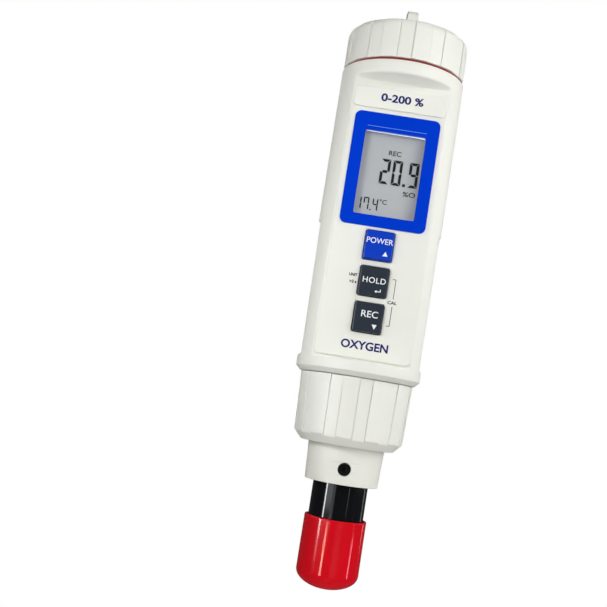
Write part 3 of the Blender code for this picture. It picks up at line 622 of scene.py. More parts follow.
def make_housing():
    """The tube between its rim and its flange, with a threaded spigot at each end."""
    angles = body_angles()
    depth = BODY_R - FRONT_FLAT
    rings = []

    def add(z, reach):
        """A ring at a height, with one radius or with a radius for each angle."""
        rings.append([around(angle, reach(angle) if callable(reach) else reach, z) for angle in angles])

    def add_edge(corners, first, last):
        """Part of a softened outline of (radius, z, corner radius) points."""
        for radius, z in softened(corners)[first:last]:
            add(z, radius)

    def add_thread(radius, top, bottom, steps):
        """Ridges that stand a little above their spigot."""
        for i in range(steps + 1):
            z = top + (bottom - top) * i / steps
            sunk = THREAD_CREST if i in (0, steps) else 0.0
            add(z, lambda angle: radius + THREAD_CREST - sunk - thread(
                angle, z, bottom, top, THREAD_LEAD, THREAD_STARTS, THREAD_DEPTH))

    def flats(share, side):
        """The outline with its flats, or a share of the way to it from the round one."""
        def reach(angle):
            flat = flats_reach(angle, BODY_R, FRONT_FLAT, side, BACK_FLAT, 0.5)
            return BODY_R + (flat - BODY_R) * share
        return reach

    # Top spigot, from its mouth down to the rim.
    bore, spigot, end = BATTERY_BORE_R, TOP_SPIGOT_R, TOP_SPIGOT_TOP
    add_edge([(bore, end, 0.3), (spigot - 0.1, end, 0.5), (spigot, end - 3.0, 0.0), (bore, end - 3.0, 0.0)],
        0, -2)
    add_thread(spigot, end - 0.8, RIM_TOP + 0.3, 34)
    # Rim: its rounded upper edge, its wall and its rounded lower edge with the ledge to the flats.
    add(RIM_TOP, spigot)
    edge_r = 0.5
    for a in (90, 72, 54, 36, 18, 0):
        add(RIM_TOP - edge_r + edge_r * sine(a), BODY_R - edge_r + edge_r * cosine(a))
    ledge = softened([(0.0, RIM_TOP - 2.0, 0.0), (0.0, RIM_BOTTOM, 0.9), (depth, FACE_TOP, 0.5),
        (depth, FACE_TOP - 4.0, 0.0)])
    for fall, z in ledge[1:-1]:
        add(z, flats(fall / depth, None))
    # Plain body, then the step down to the side flats of the grip.
    plain, grip = flats(1.0, None), flats(1.0, SIDE_FLAT_TOP)
    plain_top, plain_bottom = FACE_TOP - 2.0, GRIP_TOP + 0.6
    for i in range(5):
        add(plain_top + (plain_bottom - plain_top) * i / 4, plain)
    for i in range(7):
        share = (1 - cosine(180 * i / 6)) / 2
        add(GRIP_TOP - GRIP_STEP * i / 6, lambda angle: plain(angle) * (1 - share) + grip(angle) * share)
    grip_top, grip_bottom = GRIP_TOP - GRIP_STEP - 0.6, FACE_BOTTOM + 0.7
    for i in range(9):
        share = i / 8
        side = SIDE_FLAT_TOP + (SIDE_FLAT_BOTTOM - SIDE_FLAT_TOP) * share
        add(grip_top + (grip_bottom - grip_top) * share, flats(1.0, side))
    # Flange: the ledge out to full width, its wall and its rounded underside.
    ledge = softened([(depth, FACE_BOTTOM + 3.0, 0.0), (depth, FACE_BOTTOM, 0.6), (0.0, FLANGE_TOP, 0.35),
        (0.0, FLANGE_BOTTOM, 0.0)])
    for fall, z in ledge[1:-1]:
        add(z, flats(fall / depth, SIDE_FLAT_BOTTOM))
    bore, spigot, end = LOW_BORE_R, LOW_SPIGOT_R, LOW_SPIGOT_BOTTOM
    add_edge([(spigot, FLANGE_TOP, 0.0), (BODY_R, FLANGE_TOP, 0.0), (BODY_R, FLANGE_BOTTOM + 1.5, 0.6),
        (BODY_R - 1.5, FLANGE_BOTTOM, 0.4), (spigot, FLANGE_BOTTOM, 0.2), (spigot, FLANGE_TOP + 0.1, 0.0)],
        2, -1)
    # Lower spigot and its mouth.
    add_thread(spigot, FLANGE_BOTTOM - 0.5, end + 0.9, 44)
    add_edge([(spigot, end + 2.0, 0.0), (spigot, end, 0.5), (bore, end, 0.4), (bore, end + 2.0, 0.0)], 1, -1)
    # Inside, from the lower bore up to the battery bore.
    inner, front, back = BODY_R - WALL, FRONT_FLAT - WALL, BACK_FLAT - WALL
    for z, *shape in (
            (FLANGE_BOTTOM + 1.9, bore, None, None, None),
            (FLANGE_BOTTOM + 3.4, inner, front, SIDE_FLAT_BOTTOM - WALL, back),
            (FACE_TOP - WALL, inner, front, SIDE_FLAT_TOP - WALL, back),
            (FACE_TOP + 0.1, BATTERY_BORE_R, front, None, None),
            (FACE_TOP + 3.5, BATTERY_BORE_R, None, None, None)):
        add(z, lambda angle: flats_reach(angle, *shape, 0.3))
    made = piece("housing_shell", skin(rings), "housing", "housing_white", "housing")
    opening = slab(TONGUE[0] + 0.3, TONGUE[1] - 0.3, TONGUE[2] + 0.3, 1.0,
        [(0.0, -FRONT_FLAT - 1.0), (0.0, -FRONT_FLAT + 4.0)])
    cut(made, solid(opening))


# ---- front

def make_name_plate():
    """The small raised plate above the display."""
    profile = [(0.0, high("name_plate").y)] + edge_arc(0.2, low("name_plate").y)
    rings = node_slab("name_plate", 1.4, profile)
    piece("name_plate_front", solid(rings), "housing", "housing_white", "name_plate")


def make_front_panel():
    """The raised panel with its tongue, and rounded openings for the bezel and the keys."""
    plate_back = -FRONT_FLAT - 0.1
    edge = list(reversed(edge_arc(0.22, PANEL_FACE)))
    outer = node_slab("front_panel", 1.5, edge + [(0.0, plate_back)])
    outer += slab(*TONGUE, 1.0, [(0.0, plate_back), (0.0, PANEL_BACK)])
    hole_profile = hole_edge(0.15, PANEL_FACE) + [(0.0, PANEL_BACK)]
    holes = [slab(12.1, BEZEL_BOTTOM + 1.7, BEZEL_TOP - 1.7, 1.2, hole_profile)]
    for name in KEYS:
        centre = middle(name + "_key")
        half_height = KEY_HALF_HEIGHT + KEY_GAP
        holes.append(slab(KEY_HALF_WIDTH + KEY_GAP, centre - half_height, centre + half_height,
            KEY_CORNER_R + KEY_GAP, hole_profile))
    piece("front_panel_plate", plate_with_holes(outer, holes), "housing", "housing_white", "front_panel")


def make_bezel():
    """The glossy blue frame, with rounded edges outside and at the window."""
    seat, ledge = PANEL_FACE - 0.05, LENS_FACE - 0.1
    rings = node_slab("display_bezel", 2.0, [(0.0, seat)] + edge_arc(0.22, BEZEL_FACE))
    rings += slab(*WINDOW, 0.6, hole_edge(0.16, BEZEL_FACE) + [(0.0, ledge)])
    rings += slab(10.6, WINDOW[1] - 1.1, WINDOW[2] + 1.1, 0.6, [(0.0, ledge), (0.0, BEZEL_BACK)])
    rings += slab(11.8, BEZEL_BOTTOM + 2.0, BEZEL_TOP - 2.0, 1.0, [(0.0, BEZEL_BACK), (0.0, seat)])
    piece("bezel_frame", skin(rings), "housing", "blue_gloss", "display_bezel")


def make_display():
    """The clear window, a pale glowing strip of painted glint along its top edge, and the display glass
    behind it.
    """
    for name, node, finish, corner, edge in (
            ("window_pane", "display_window", "window_clear", 0.4, 0.1),
            ("lcd_panel", "lcd_glass", "lcd_grey", 0.3, 0.12)):
        front, back = low(node).y, high(node).y
        profile = [(edge, back), (0.0, back - edge), (0.0, front + edge), (edge, front)]
        piece(name, solid(node_slab(node, corner, profile)), "housing", finish, node)
    # A thin strip along the window's top edge, wider at its right end, coloured pale and glowing as a painted
    # glint.
    left, right, top = -9.3, 9.35, WINDOW[2] - 0.05
    glint_outline = [(left, top), (left, top - 0.25), (right - 2.2, top - 0.35), (right, top - 0.6), (right, top)]
    piece("window_glint_line", flat_shapes([glint_outline], LENS_FACE), "housing", "painted_glint")


def make_keys():
    """Glossy keys with a rolled edge, and a flange behind the panel."""
    for name in KEYS:
        node = name + "_key"
        flange = high(node).x - KEY_HALF_WIDTH
        profile = [
            (-flange + 0.1, KEY_FLANGE_BACK), (-flange, KEY_FLANGE_BACK - 0.1),
            (-flange, KEY_FLANGE_FRONT + 0.1), (-flange + 0.1, KEY_FLANGE_FRONT),
            (0.0, KEY_FLANGE_FRONT), (0.0, PANEL_FACE), (0.05, KEY_FACE + 0.45),
        ]
        profile += [(inset + 0.05, y) for inset, y in edge_arc(0.42, KEY_FACE)]
        bottom, top = middle(node) - KEY_HALF_HEIGHT, middle(node) + KEY_HALF_HEIGHT
        rings = slab(KEY_HALF_WIDTH, bottom, top, KEY_CORNER_R, profile)
        finish = "key_blue" if name == "power" else "key_slate"
        piece(name + "_key_cap", solid(rings), node, finish, node)


# ---- battery cap, collar and seals

def grip_angles(start):
    """(angle, share) pairs round a ring: the share is 1 on a pad and 0 on the ground between pads."""
    # A wall rises from a narrow groove at its foot: an angle from the pad's edge, and a share.
    wall = ((-0.42, 0.0), (-0.3, -0.6), (0.0, -0.7), (0.08, 0.85), (0.25, 1.0), (PAD_WALL_ANGLE, 1.0))
    pitch = 360.0 / GRIP_PADS
    top = PAD_ANGLE - 2 * PAD_WALL_ANGLE
    ground = pitch - PAD_ANGLE
    pairs = []
    for pad in range(GRIP_PADS):
        first = start + pad * pitch
        last = first + PAD_ANGLE
        pairs += [(first + offset, share) for offset, share in wall]
        pairs += [(first + PAD_WALL_ANGLE + top * k / 6, 1.0) for k in range(1, 6)]
        pairs += [(last - offset, share) for offset, share in reversed(wall)]
        pairs += [(last + ground * k / 7, 0.0) for k in range(1, 7)]
    return pairs


def gripped(profile, start, step_at):
    """Turn a closed profile of (radius, z) points whose outer part has grip pads.

    step_at gives the pads' height at a profile point's radius and z.
    """
    pairs = grip_angles(start)
    rings = []
    for radius, z in profile:
        step = step_at(radius, z)
        rings.append([around(angle, radius - step * (1 - share), z) for angle, share in pairs])
    return skin(rings)


def make_battery_cap():
    """The cap with its grip pads, its plain bore and its lanyard eye."""
    foot, shoulder = CAP_BOTTOM + 0.35, CAP_TOP - CAP_EDGE_R
    edge_centre = CAP_R - CAP_EDGE_R
    profile = [(CAP_R - 0.35, CAP_BOTTOM), (CAP_R - 0.1, CAP_BOTTOM + 0.1), (CAP_R, foot)]
    profile += between((CAP_R, foot), (CAP_R, shoulder), 5)
    for a in range(9, 91, 9):
        profile.append((edge_centre + CAP_EDGE_R * cosine(a), shoulder + CAP_EDGE_R * sine(a)))
    profile += [(12.0, CAP_TOP), (7.0, CAP_TOP), (1.2, CAP_TOP)]
    profile += [(1.2, CAP_ROOF), (7.0, CAP_ROOF), (CAP_BORE_R - 0.5, CAP_ROOF), (CAP_BORE_R, CAP_ROOF - 0.5)]
    profile += [(CAP_BORE_R, CAP_BOTTOM + 0.5), (CAP_BORE_R + 0.4, CAP_BOTTOM)]

    def step_at(radius, z):
        if radius < edge_centre or (z < shoulder and radius < CAP_R - 1.0):
            return 0.0
        rise = max(0.0, z - shoulder) / CAP_EDGE_R
        return PAD_HEIGHT * math.sqrt(max(0.0, 1 - rise * rise))

    shape = gripped(profile, CAP_PAD_START, step_at)
    piece("battery_cap_shell", shape, "battery_cap", "cap_white", "battery_cap")
    piece("lanyard_eye", eye_shape(), "battery_cap", "cap_white")


def eye_shape():
    """The lug: round at the top, flared where it joins the cap, with a rounded hole across it."""
    half = EYE_DEPTH / 2
    centre_z = EYE_TOP - half
    root = CAP_TOP - 0.6
    soft = 0.45
    section = softened([(0.0, -EYE_WIDTH / 2, soft), (0.0, EYE_WIDTH / 2, soft),
        (1.0, EYE_WIDTH / 2, soft), (1.0, -EYE_WIDTH / 2, soft)])
    rings = []
    for share, x in section:
        ring = []
        for angle in circle(96):
            y, z = sine(angle), cosine(angle)
            outer = half
            if z < 0:
                outer = min(half / max(abs(y), 1e-6), (centre_z - root) / -z)
            distance = EYE_HOLE_R + (outer - EYE_HOLE_R) * share
            flare = 0.6 * max(0.0, 1 - (centre_z + distance * z - root) / 1.2) ** 2
            widen = 1 + 2 * flare / EYE_WIDTH if share > 0.2 else 1.0
            ring.append((x * widen, y * distance, centre_z + z * distance))
        rings.append(ring)
    return skin(rings)


def make_collar():
    """The union nut, with grip pads that run out in its lower chamfer."""
    lip = NECK_R + 0.5
    end_r = COLLAR_LOW_R - 2.4
    wall_top = (COLLAR_TOP_R, COLLAR_TOP - 0.2)
    wall_end = (COLLAR_LOW_R, COLLAR_CHAMFER + 0.25)
    chamfer_top = (COLLAR_LOW_R - 0.3, COLLAR_CHAMFER - 0.28)
    chamfer_end = (end_r, COLLAR_BOTTOM + 0.2)
    profile = [(COLLAR_TOP_R - 0.2, COLLAR_TOP), (COLLAR_TOP_R - 0.06, COLLAR_TOP - 0.06), wall_top]
    profile += between(wall_top, wall_end, 5)
    profile += [(COLLAR_LOW_R - 0.06, COLLAR_CHAMFER), chamfer_top]
    profile += between(chamfer_top, chamfer_end, 8)
    profile += [(end_r - 0.15, COLLAR_BOTTOM + 0.06), (end_r - 0.4, COLLAR_BOTTOM)]
    profile += [(lip + 0.3, COLLAR_BOTTOM), (lip, COLLAR_BOTTOM + 0.3), (lip, LIP_TOP)]
    bore = COLLAR_BORE_R
    profile += [(bore, LIP_TOP), (bore, COLLAR_TOP - 0.4), (bore + 0.35, COLLAR_TOP)]

    def step_at(radius, z):
        if radius < COLLAR_BORE_R + 0.6 and z > COLLAR_CHAMFER:
            return 0.0
        if z >= COLLAR_CHAMFER:
            return PAD_HEIGHT
        ground = COLLAR_LOW_R - PAD_HEIGHT
        return min(PAD_HEIGHT, max(0.0, radius - ground + 0.06))

    shape = gripped(profile, COLLAR_PAD_START, step_at)
    piece("probe_collar_nut", shape, "probe_collar", "collar_white", "probe_collar")


def make_seals():
    """The three O-rings. The one under the cap shows and is slightly squeezed."""
    for node, body, finish, *sizes in (
            ("cap_seal", "housing", "red_rubber", 18.75, 0.5, (RIM_TOP + CAP_BOTTOM) / 2, 240, 0.86),
            ("neck_seal", "sensor_module", "black_rubber", 12.5, 0.5, (GROOVE[0] + GROOVE[1]) / 2),
            ("membrane_seal", "membrane_seal", "black_rubber", 7.75, 0.42, middle("membrane_seal"))):
        piece(node + "_ring", torus(*sizes), body, finish, node)


# ---- sensor module

def make_neck():
    """The white neck with its O-ring groove, its flange and the faint line by the screw."""
    seat = BARREL_R + 0.35
    groove_top, groove_bottom, groove_depth = GROOVE
    groove_r = NECK_PLUG_R - groove_depth
    flange_r, flange_top, flange_bottom = NECK_FLANGE
    corners = [
        (NECK_BORE_R, NECK_TOP, 0.3), (NECK_PLUG_R, NECK_TOP, 0.6),
        (NECK_PLUG_R, groove_top, 0.15), (groove_r, groove_top, 0.15), (groove_r, groove_bottom, 0.15),
        (NECK_PLUG_R, groove_bottom, 0.15),
        (NECK_PLUG_R, flange_top, 0.3), (flange_r, flange_top, 0.3),
        (flange_r, flange_bottom, 0.3), (NECK_R, flange_bottom, 0.2),
    ]
    witness = SCREW_Z + SCREW_HOLE_R
    levels = [COLLAR_BOTTOM] + [witness + offset for offset in (0.45, 0.16, 0.08, 0.0, -0.08, -0.16, -0.45)]
    levels += [SCREW_Z, SCREW_Z - SCREW_HOLE_R]
    for z in levels:
        share = (z - COLLAR_BOTTOM) / (NECK_BOTTOM - COLLAR_BOTTOM)
        corners.append((NECK_R + (NECK_END_R - NECK_R) * share, z, 0.0))
    corners += [
        (NECK_END_R, NECK_BOTTOM, 0.3), (seat, NECK_BOTTOM, 0.25),
        (seat, BARREL_TOP + 0.3, 0.1), (NECK_BORE_R, BARREL_TOP + 0.3, 0.1),
    ]

    def reach(angle, radius, z):
        turn = abs((angle + 180) % 360 - 180) / WITNESS_ANGLE
        rise = abs(z - witness) / WITNESS_HALF
        if radius < NECK_END_R - 1 or rise > 1 or turn > 1:
            return radius
        return radius - WITNESS_DEPTH * (1 - rise) * (1 - turn ** 2)

    shape = turned(softened(corners), segments=180, reach=reach)
    made = piece("sensor_neck_sleeve", shape, "sensor_module", "neck_white", "sensor_neck")
    surface = NECK_END_R + 0.25
    mouth = [(SCREW_HOLE_R + 0.35, -surface - 1.5), (SCREW_HOLE_R + 0.22, -surface),
        (SCREW_HOLE_R, -surface + 0.35), (SCREW_HOLE_R, -NECK_BORE_R + 0.5)]
    cut(made, solid([screw_ring(radius, y, 64) for radius, y in mouth]))


def make_neck_screw():
    """The set screw at the bottom of its hole, with a hexagon socket."""
    front, back = low("neck_screw").y, high("neck_screw").y
    profile = [(SCREW_R - 0.15, back), (SCREW_R, back - 0.15), (SCREW_R, front + 0.25),
        (SCREW_R - 0.25, front), (SOCKET_R + 0.25, front)]
    rings = [screw_ring(radius, y) for radius, y in profile]
    for grow, y in ((0.05, front + 0.02), (0.0, front + 0.1), (0.0, front + 0.9), (-0.3, front + 1.1)):
        half_width = SOCKET_R * cosine(30) + grow
        rings.append(screw_ring(lambda angle: half_width / cosine((angle + 30) % 60 - 30), y))
    piece("neck_set_screw", solid(rings), "sensor_module", "screw_black", "neck_screw")


def make_barrel():
    """The glossy black barrel and its threaded nose."""
    top, bottom = BARREL_SHOULDER - 0.2, NOSE_END + 0.5
    outline = softened([
        (6.8, BARREL_TOP, 0.2), (BARREL_R, BARREL_TOP, 0.3), (BARREL_R, BARREL_SHOULDER, 0.35),
        (NOSE_R - 0.3, BARREL_SHOULDER, 0.1),
    ])[:-1]
    outline += [(NOSE_R, top)] + between((NOSE_R, top), (NOSE_R, bottom), 24)
    outline += [(NOSE_R - 0.5, NOSE_END), (4.6, NOSE_END), (4.3, NOSE_END + 0.3), (4.3, -72.0), (6.8, -72.0)]

    def reach(angle, radius, z):
        if abs(radius - NOSE_R) > 0.01:
            return radius
        return radius - thread(angle, z, bottom, top, 2.0, 2, 0.35)

    shape = turned(outline, segments=160, reach=reach)
    piece("probe_barrel_tube", shape, "sensor_module", "barrel_black", "probe_barrel")


def make_membrane_head():
    """The screw-on head with finger flutes round its upper part."""
    bore = NOSE_R + 0.35
    flute_top, flute_bottom = HEAD_TOP - 0.5, HEAD_BOTTOM + 1.9
    corners = [(bore, HEAD_TOP, 0.2), (HEAD_R, HEAD_TOP, 0.25)]
    corners += [(HEAD_R, flute_top - fall, 0.0) for fall in (0.0, 0.25, 0.5)]
    corners += [(HEAD_R, flute_bottom + rise, 0.0) for rise in (0.5, 0.25, 0.0)]
    corners += [
        (HEAD_R, HEAD_BOTTOM + 1.3, 0.3), (HEAD_R - 1.4, HEAD_BOTTOM, 0.5), (3.2, HEAD_BOTTOM, 0.3),
        (3.2, HEAD_FLOOR, 0.1), (bore, HEAD_FLOOR, 0.1),
    ]

    def reach(angle, radius, z):
        if radius < HEAD_R - 0.01 or not flute_bottom < z < flute_top:
            return radius
        share = min(1.0, (flute_top - z) / 0.5, (z - flute_bottom) / 0.5)
        wave = 0.5 - 0.5 * cosine(angle * FLUTES)
        return radius - FLUTE_DEPTH * share * wave ** 2

    shape = turned(softened(corners), segments=240, reach=reach)
    piece("membrane_head_cap", shape, "membrane_head", "barrel_black", "membrane_head")


def make_protective_cap():
    """The dip-moulded red cap: thin, with an uneven rim and a slightly wavy wall."""
    outer_depth = RED_BEND - RED_BOTTOM
    inner_depth = outer_depth - RED_WALL
    height = RED_TOP - RED_BEND
    bore = RED_R - RED_WALL
    roll = RED_WALL / 2
    angles = [3.0 * i for i in range(1, 31)]
    levels = (0.08, 0.2, 0.35, 0.5, 0.65, 0.78, 0.88, 0.93, 0.955, 0.97)
    # Outside upwards from the tip, over the rolled rim, and down inside.
    profile = [(RED_R * sine(a), RED_BEND - outer_depth * cosine(a)) for a in angles]
    profile += [(RED_R, RED_BEND + height * level) for level in levels]
    profile += [(RED_R - roll + roll * cosine(180 * i / 8), RED_TOP - roll + roll * sine(180 * i / 8))
        for i in range(9)]
    profile += [(bore, RED_BEND + height * level) for level in (0.9, 0.5, 0.1)]
    profile += [(bore * sine(a), RED_BEND - inner_depth * cosine(a)) for a in reversed(angles[1::3])]
    rings = []
    for radius, z in profile:
        ring = []
        rise = max(0.0, (z - RED_BEND) / height)
        for angle in circle(144):
            wave = noise.noise(Vector((sine(angle) * 1.4, cosine(angle) * 1.4, z * 0.09)))
            reach = radius * (1 - 0.002 + 0.003 * wave * min(1.0, radius / RED_R))
            around_rim = math.sin(math.radians(angle) * 2 + 0.8)
            sag = 0.32 * rise ** 6 * (0.5 + 0.3 * around_rim + 0.4 * wave)
            ring.append(around(angle, reach, z - max(0.0, sag)))
        rings.append(ring)
    piece("protective_cap_vinyl", solid(rings), "protective_cap", "red_vinyl", "protective_cap")


# ---- prints

def text_piece(name, text, body, finish, x, z, width, height, y, weight=0.02, spacing=1.0):
    """Generic lettering in a box of a given width and height, centred on (x, z)."""
    curve = bpy.data.curves.new(name + "_text", "FONT")
    curve.body = text
    curve.space_character = spacing
    curve.resolution_u = 6
    curve.offset = weight
    curve.extrude = 0.5
    source = add_object(name + "_text", curve)
    bpy.context.view_layer.update()
    mesh = bpy.data.meshes.new_from_object(source.evaluated_get(bpy.context.evaluated_depsgraph_get()))
    bpy.data.objects.remove(source, do_unlink=True)
    shape = bmesh.new()
    shape.from_mesh(mesh)
    bpy.data.meshes.remove(mesh)
    bmesh.ops.remove_doubles(shape, verts=shape.verts, dist=1e-5)
    xs = [vert.co.x for vert in shape.verts]
    ys = [vert.co.y for vert in shape.verts]
    left, right, bottom, top = min(xs), max(xs), min(ys), max(ys)
    for vert in shape.verts:
        across = (vert.co.x - (right + left) / 2) * (width / (right - left))
        up = (vert.co.y - (top + bottom) / 2) * (height / (top - bottom))
        vert.co = (x + across, y - PRINT_GAP - PRINT_THICKNESS * (vert.co.z + 0.5), z + up)
    piece(name, shape, body, finish, sharp=30.0)


def flat_shapes(outlines, y):
    """Thin printed shapes, each from an outline of (x, z) points."""
    shape = bmesh.new()
    for outline in outlines:
        front, back = loops_of(shape, [[(x, y - rise, z) for x, z in outline]
            for rise in (PRINT_GAP + PRINT_THICKNESS, PRINT_GAP)])
        shape.faces.new(front)
        shape.faces.new(back)
        bridge(shape, front, back)
    return shape


def bar(x0, z0, x1, z1, width):
    """The outline of a straight line of a given width."""
    along = Vector((x1 - x0, z1 - z0)).normalized() * width / 2
    across = Vector((-along.y, along.x))
    return [(x0 - across.x, z0 - across.y), (x1 - across.x, z1 - across.y),
        (x1 + across.x, z1 + across.y), (x0 + across.x, z0 + across.y)]


SEGMENTS_OF = {"0": "abcdef", "1": "bc", "2": "abged", "4": "fgbc", "7": "fabc", "9": "abcdfg"}


def digit(character, left, bottom, width, height, stroke):
    """The lit segments of a seven-segment digit, as outlines with mitred ends."""
    gap = stroke * 0.11
    half = stroke / 2
    right, top, centre = left + width, bottom + height, bottom + height / 2
    level = ((left + gap, 0), (right - gap, 0), (right - stroke - gap, 1), (left + stroke + gap, 1))

    def upright(side, turn, end, way):
        return [(side, end - way * gap), (side, centre + way * gap), (side + turn * half, centre + way * gap),
            (side + turn * stroke, centre + way * (half + gap)),
            (side + turn * stroke, end - way * (stroke + gap))]

    shapes = {
        "a": [(x, top - stroke * step) for x, step in level],
        "d": [(x, bottom + stroke * step) for x, step in level],
        "b": upright(right, -1, top, 1),
        "c": upright(right, -1, bottom, -1),
        "e": upright(left, 1, bottom, -1),
        "f": upright(left, 1, top, 1),
        "g": [(left + half + gap, centre), (left + stroke + gap, centre + half),
            (right - stroke - gap, centre + half), (right - half - gap, centre),
            (right - stroke - gap, centre - half), (left + stroke + gap, centre - half)],
    }
    return [shapes[segment] for segment in SEGMENTS_OF[character]]


def number(digits, bottom, width, height, stroke, point):
    """Seven-segment digits, each with its left edge, and a square point at x."""
    outlines = []
    for character, left in digits:
        outlines += digit(character, left, bottom, width, height, stroke)
    half = stroke * 0.52
    outlines.append([(point - half, bottom), (point + half, bottom),
        (point + half, bottom + 2 * half), (point - half, bottom + 2 * half)])
    return flat_shapes(outlines, LCD_FACE)


def make_reading():
    """The number, units and marks on the display."""
    value = number((("2", -3.1), ("0", 0.75), ("9", 6.0)), 40.0, 3.05, 8.1, 0.88, 4.9)
    small = number((("1", -9.2), ("7", -6.8), ("4", -3.95)), 31.0, 1.75, 4.1, 0.44, -4.42)
    piece("lcd_value", value, "housing", "lcd_ink")
    piece("lcd_temperature", small, "housing", "lcd_ink")
    for name, text, x, z, width in (("record_mark", "REC", 0.8, 50.2, 4.0), ("unit", "%O", 7.0, 37.75, 4.0),
            ("degrees", "°C", -0.65, 34.25, 2.3)):
        text_piece("lcd_" + name, text, "housing", "lcd_faint", x, z, width, 1.6, LCD_FACE)


def make_key_legends():
    """Function names and small arrows on the keys, which move with them."""
    power, hold, record = (middle(name + "_key") for name in KEYS)
    face, pale = KEY_FACE, "print_pale"
    for name, text, *place in (
            ("power", "POWER", 0.12, power + 1.35, 8.3, 1.75, face, 0.004),
            ("hold", "HOLD", 0.2, hold + 0.3, 7.2, 1.8, face, 0.008, 1.1),
            ("record", "REC", 0.35, record + 1.1, 5.2, 2.1, face, 0.008)):
        text_piece(name + "_legend", text, name + "_key", pale, *place)
    up = [(1.45, power - 3.2), (3.1, power - 3.2), (2.3, power - 1.75)]
    down = [(1.45, record - 1.95), (3.0, record - 1.95), (2.3, record - 3.5)]
    head = [(0.7, hold - 3.05), (1.35, hold - 3.5), (1.35, hold - 2.6)]
    hook = [(x, hold - fall) for x, fall in ((1.36, 3.18), (2.65, 3.18), (2.65, 2.3), (2.38, 2.3),
        (2.38, 2.92), (1.36, 2.92))]
    for name, outlines in (("power", [up]), ("record", [down]), ("hold", [head, hook])):
        piece(name + "_arrow", flat_shapes(outlines, face), name + "_key", pale)


def make_panel_prints():
    """Generic legends and lines on the panel, the name plate and the bezel."""
    plate, panel = low("name_plate").y, PANEL_FACE
    for name, text, ink, *place in (
            ("plate", "0-200 %", "navy", 0.43, 67.2, 13.5, 2.6, plate, 0.03),
            ("panel", "OXYGEN", "navy", 0.3, -11.75, 14.7, 2.7, panel, 0.03),
            ("calibrate", "CAL", "grey", 6.75, 2.75, 2.9, 1.0, panel, 0.035),
            ("unit", "UNIT", "grey", -6.5, 9.75, 2.6, 0.95, panel, 0.05),
            ("delay", ">2 s", "grey", -6.3, 7.6, 2.2, 1.0, panel, 0.05)):
        text_piece(name + "_legend", text, "housing", "print_" + ink, *place)
    # The bracket has a gap for its legend.
    left, right, upper, lower, line = 5.9, 6.9, 10.05, -4.6, 0.2
    bracket = [bar(left, upper, right, upper, line), bar(right, upper, right, 3.9, line),
        bar(right, 1.6, right, lower, line), bar(left, lower, right, lower, line)]
    piece("calibrate_bracket", flat_shapes(bracket, panel), "housing", "print_grey")
    line = flat_shapes([bar(-9.2, 57.35, 9.6, 57.35, 0.22)], BEZEL_FACE)
    piece("bezel_line", line, "housing", "print_line")


# ---- stage, light and camera

FLOOR_Z = -142.0
FLOOR_R = 125.0
CAMERA_PLACE = (-12.3, -321.1, -31.9)
CAMERA_PITCH = 5.606
CAMERA_TURN = 1.501
CAMERA_ROLL = 9.1
CAMERA_LENS = 59.1
SURROUND_LIGHT = 0.06
PLAIN = (1.0, 1.0, 1.0)
COOL = (0.93, 0.98, 1.06)

# Sizes and distances of lights are in metres.
FAR_DISTANCE = 0.8
FAR_SIZE = 0.5
NEAR_SIZE = 0.06
STRIP_DISTANCE = 0.6
# Large soft boxes: name, azimuth, elevation and power.
FAR_FILLS = (
    ("right_fill", 45, 10, 1.63),
    ("front_fill", 20, 10, 1.10),
    ("left_fill", -55, 10, 0.50),
    ("rim_fill", 110, 10, 0.96),
    ("top_fill", 0, 85, 1.45),
    ("back_fill", 175, 15, 2.60),
    ("back_left_fill", -155, 15, 2.60),
)
# Small soft boxes close to the pen: name, place, height of the target and power.
NEAR_FILLS = (
    ("near_left_high", (-0.10, -0.14, 0.045), 0.02, 0.118),
    ("near_right_high", (0.12, -0.10, 0.13), 0.06, 0.078),
    ("near_right_low", (0.05, -0.15, -0.10), -0.05, 0.042),
    ("near_left_low", (-0.15, -0.20, -0.12), -0.06, 0.020),
    ("near_right_side", (0.13, -0.02, 0.03), 0.0, 0.064),
    ("near_left_side", (-0.13, -0.04, 0.0), 0.02, 0.042),
)
# Mirror-image panels: name, azimuth, width, lower and upper height, brightness and colour.
STRIPS = (
    ("warm_strip", -28, 0.060, -0.20, -0.140, 18.0, (1.0, 0.66, 0.48)),
    ("left_strip", -57, 0.052, -0.142, -0.02, 29.0, PLAIN),
    ("left_panel", -43, 0.30, -0.122, 0.10, 3.0, COOL),
    ("fade_panel", -23, 0.12, -0.135, -0.085, 1.5, COOL),
    ("side_panel", -85, 0.45, -0.07, 0.12, 2.0, PLAIN),
    ("right_line", 39, 0.010, -0.12, 0.0, 6.0, PLAIN),
    ("pink_strip", 76, 0.035, -0.25, -0.147, 12.0, (1.0, 0.60, 0.80)),
    ("right_panel", 86, 0.60, -0.10, 0.03, 0.5, (0.8, 0.9, 1.0)),
    ("far_right_line", 126, 0.020, -0.15, 0.0, 5.0, PLAIN),
)


def make_camera():
    data = bpy.data.cameras.new("camera")
    data.lens = CAMERA_LENS
    data.sensor_width = 36.0
    data.clip_start = 0.01
    camera = add_object("camera", data)
    aim = Euler((math.radians(90 + CAMERA_PITCH), 0.0, math.radians(CAMERA_TURN))).to_matrix().to_4x4()
    roll = Matrix.Rotation(math.radians(CAMERA_ROLL), 4, "Z")
    camera.matrix_world = Matrix.Translation(Vector(CAMERA_PLACE) * MM) @ aim @ roll
    bpy.context.scene.camera = camera


def on_circle(azimuth, elevation, distance):
    """A point in metres at an azimuth from the front and an elevation."""
    level = cosine(elevation)
    return Vector((sine(azimuth) * level, -cosine(azimuth) * level, sine(elevation))) * distance


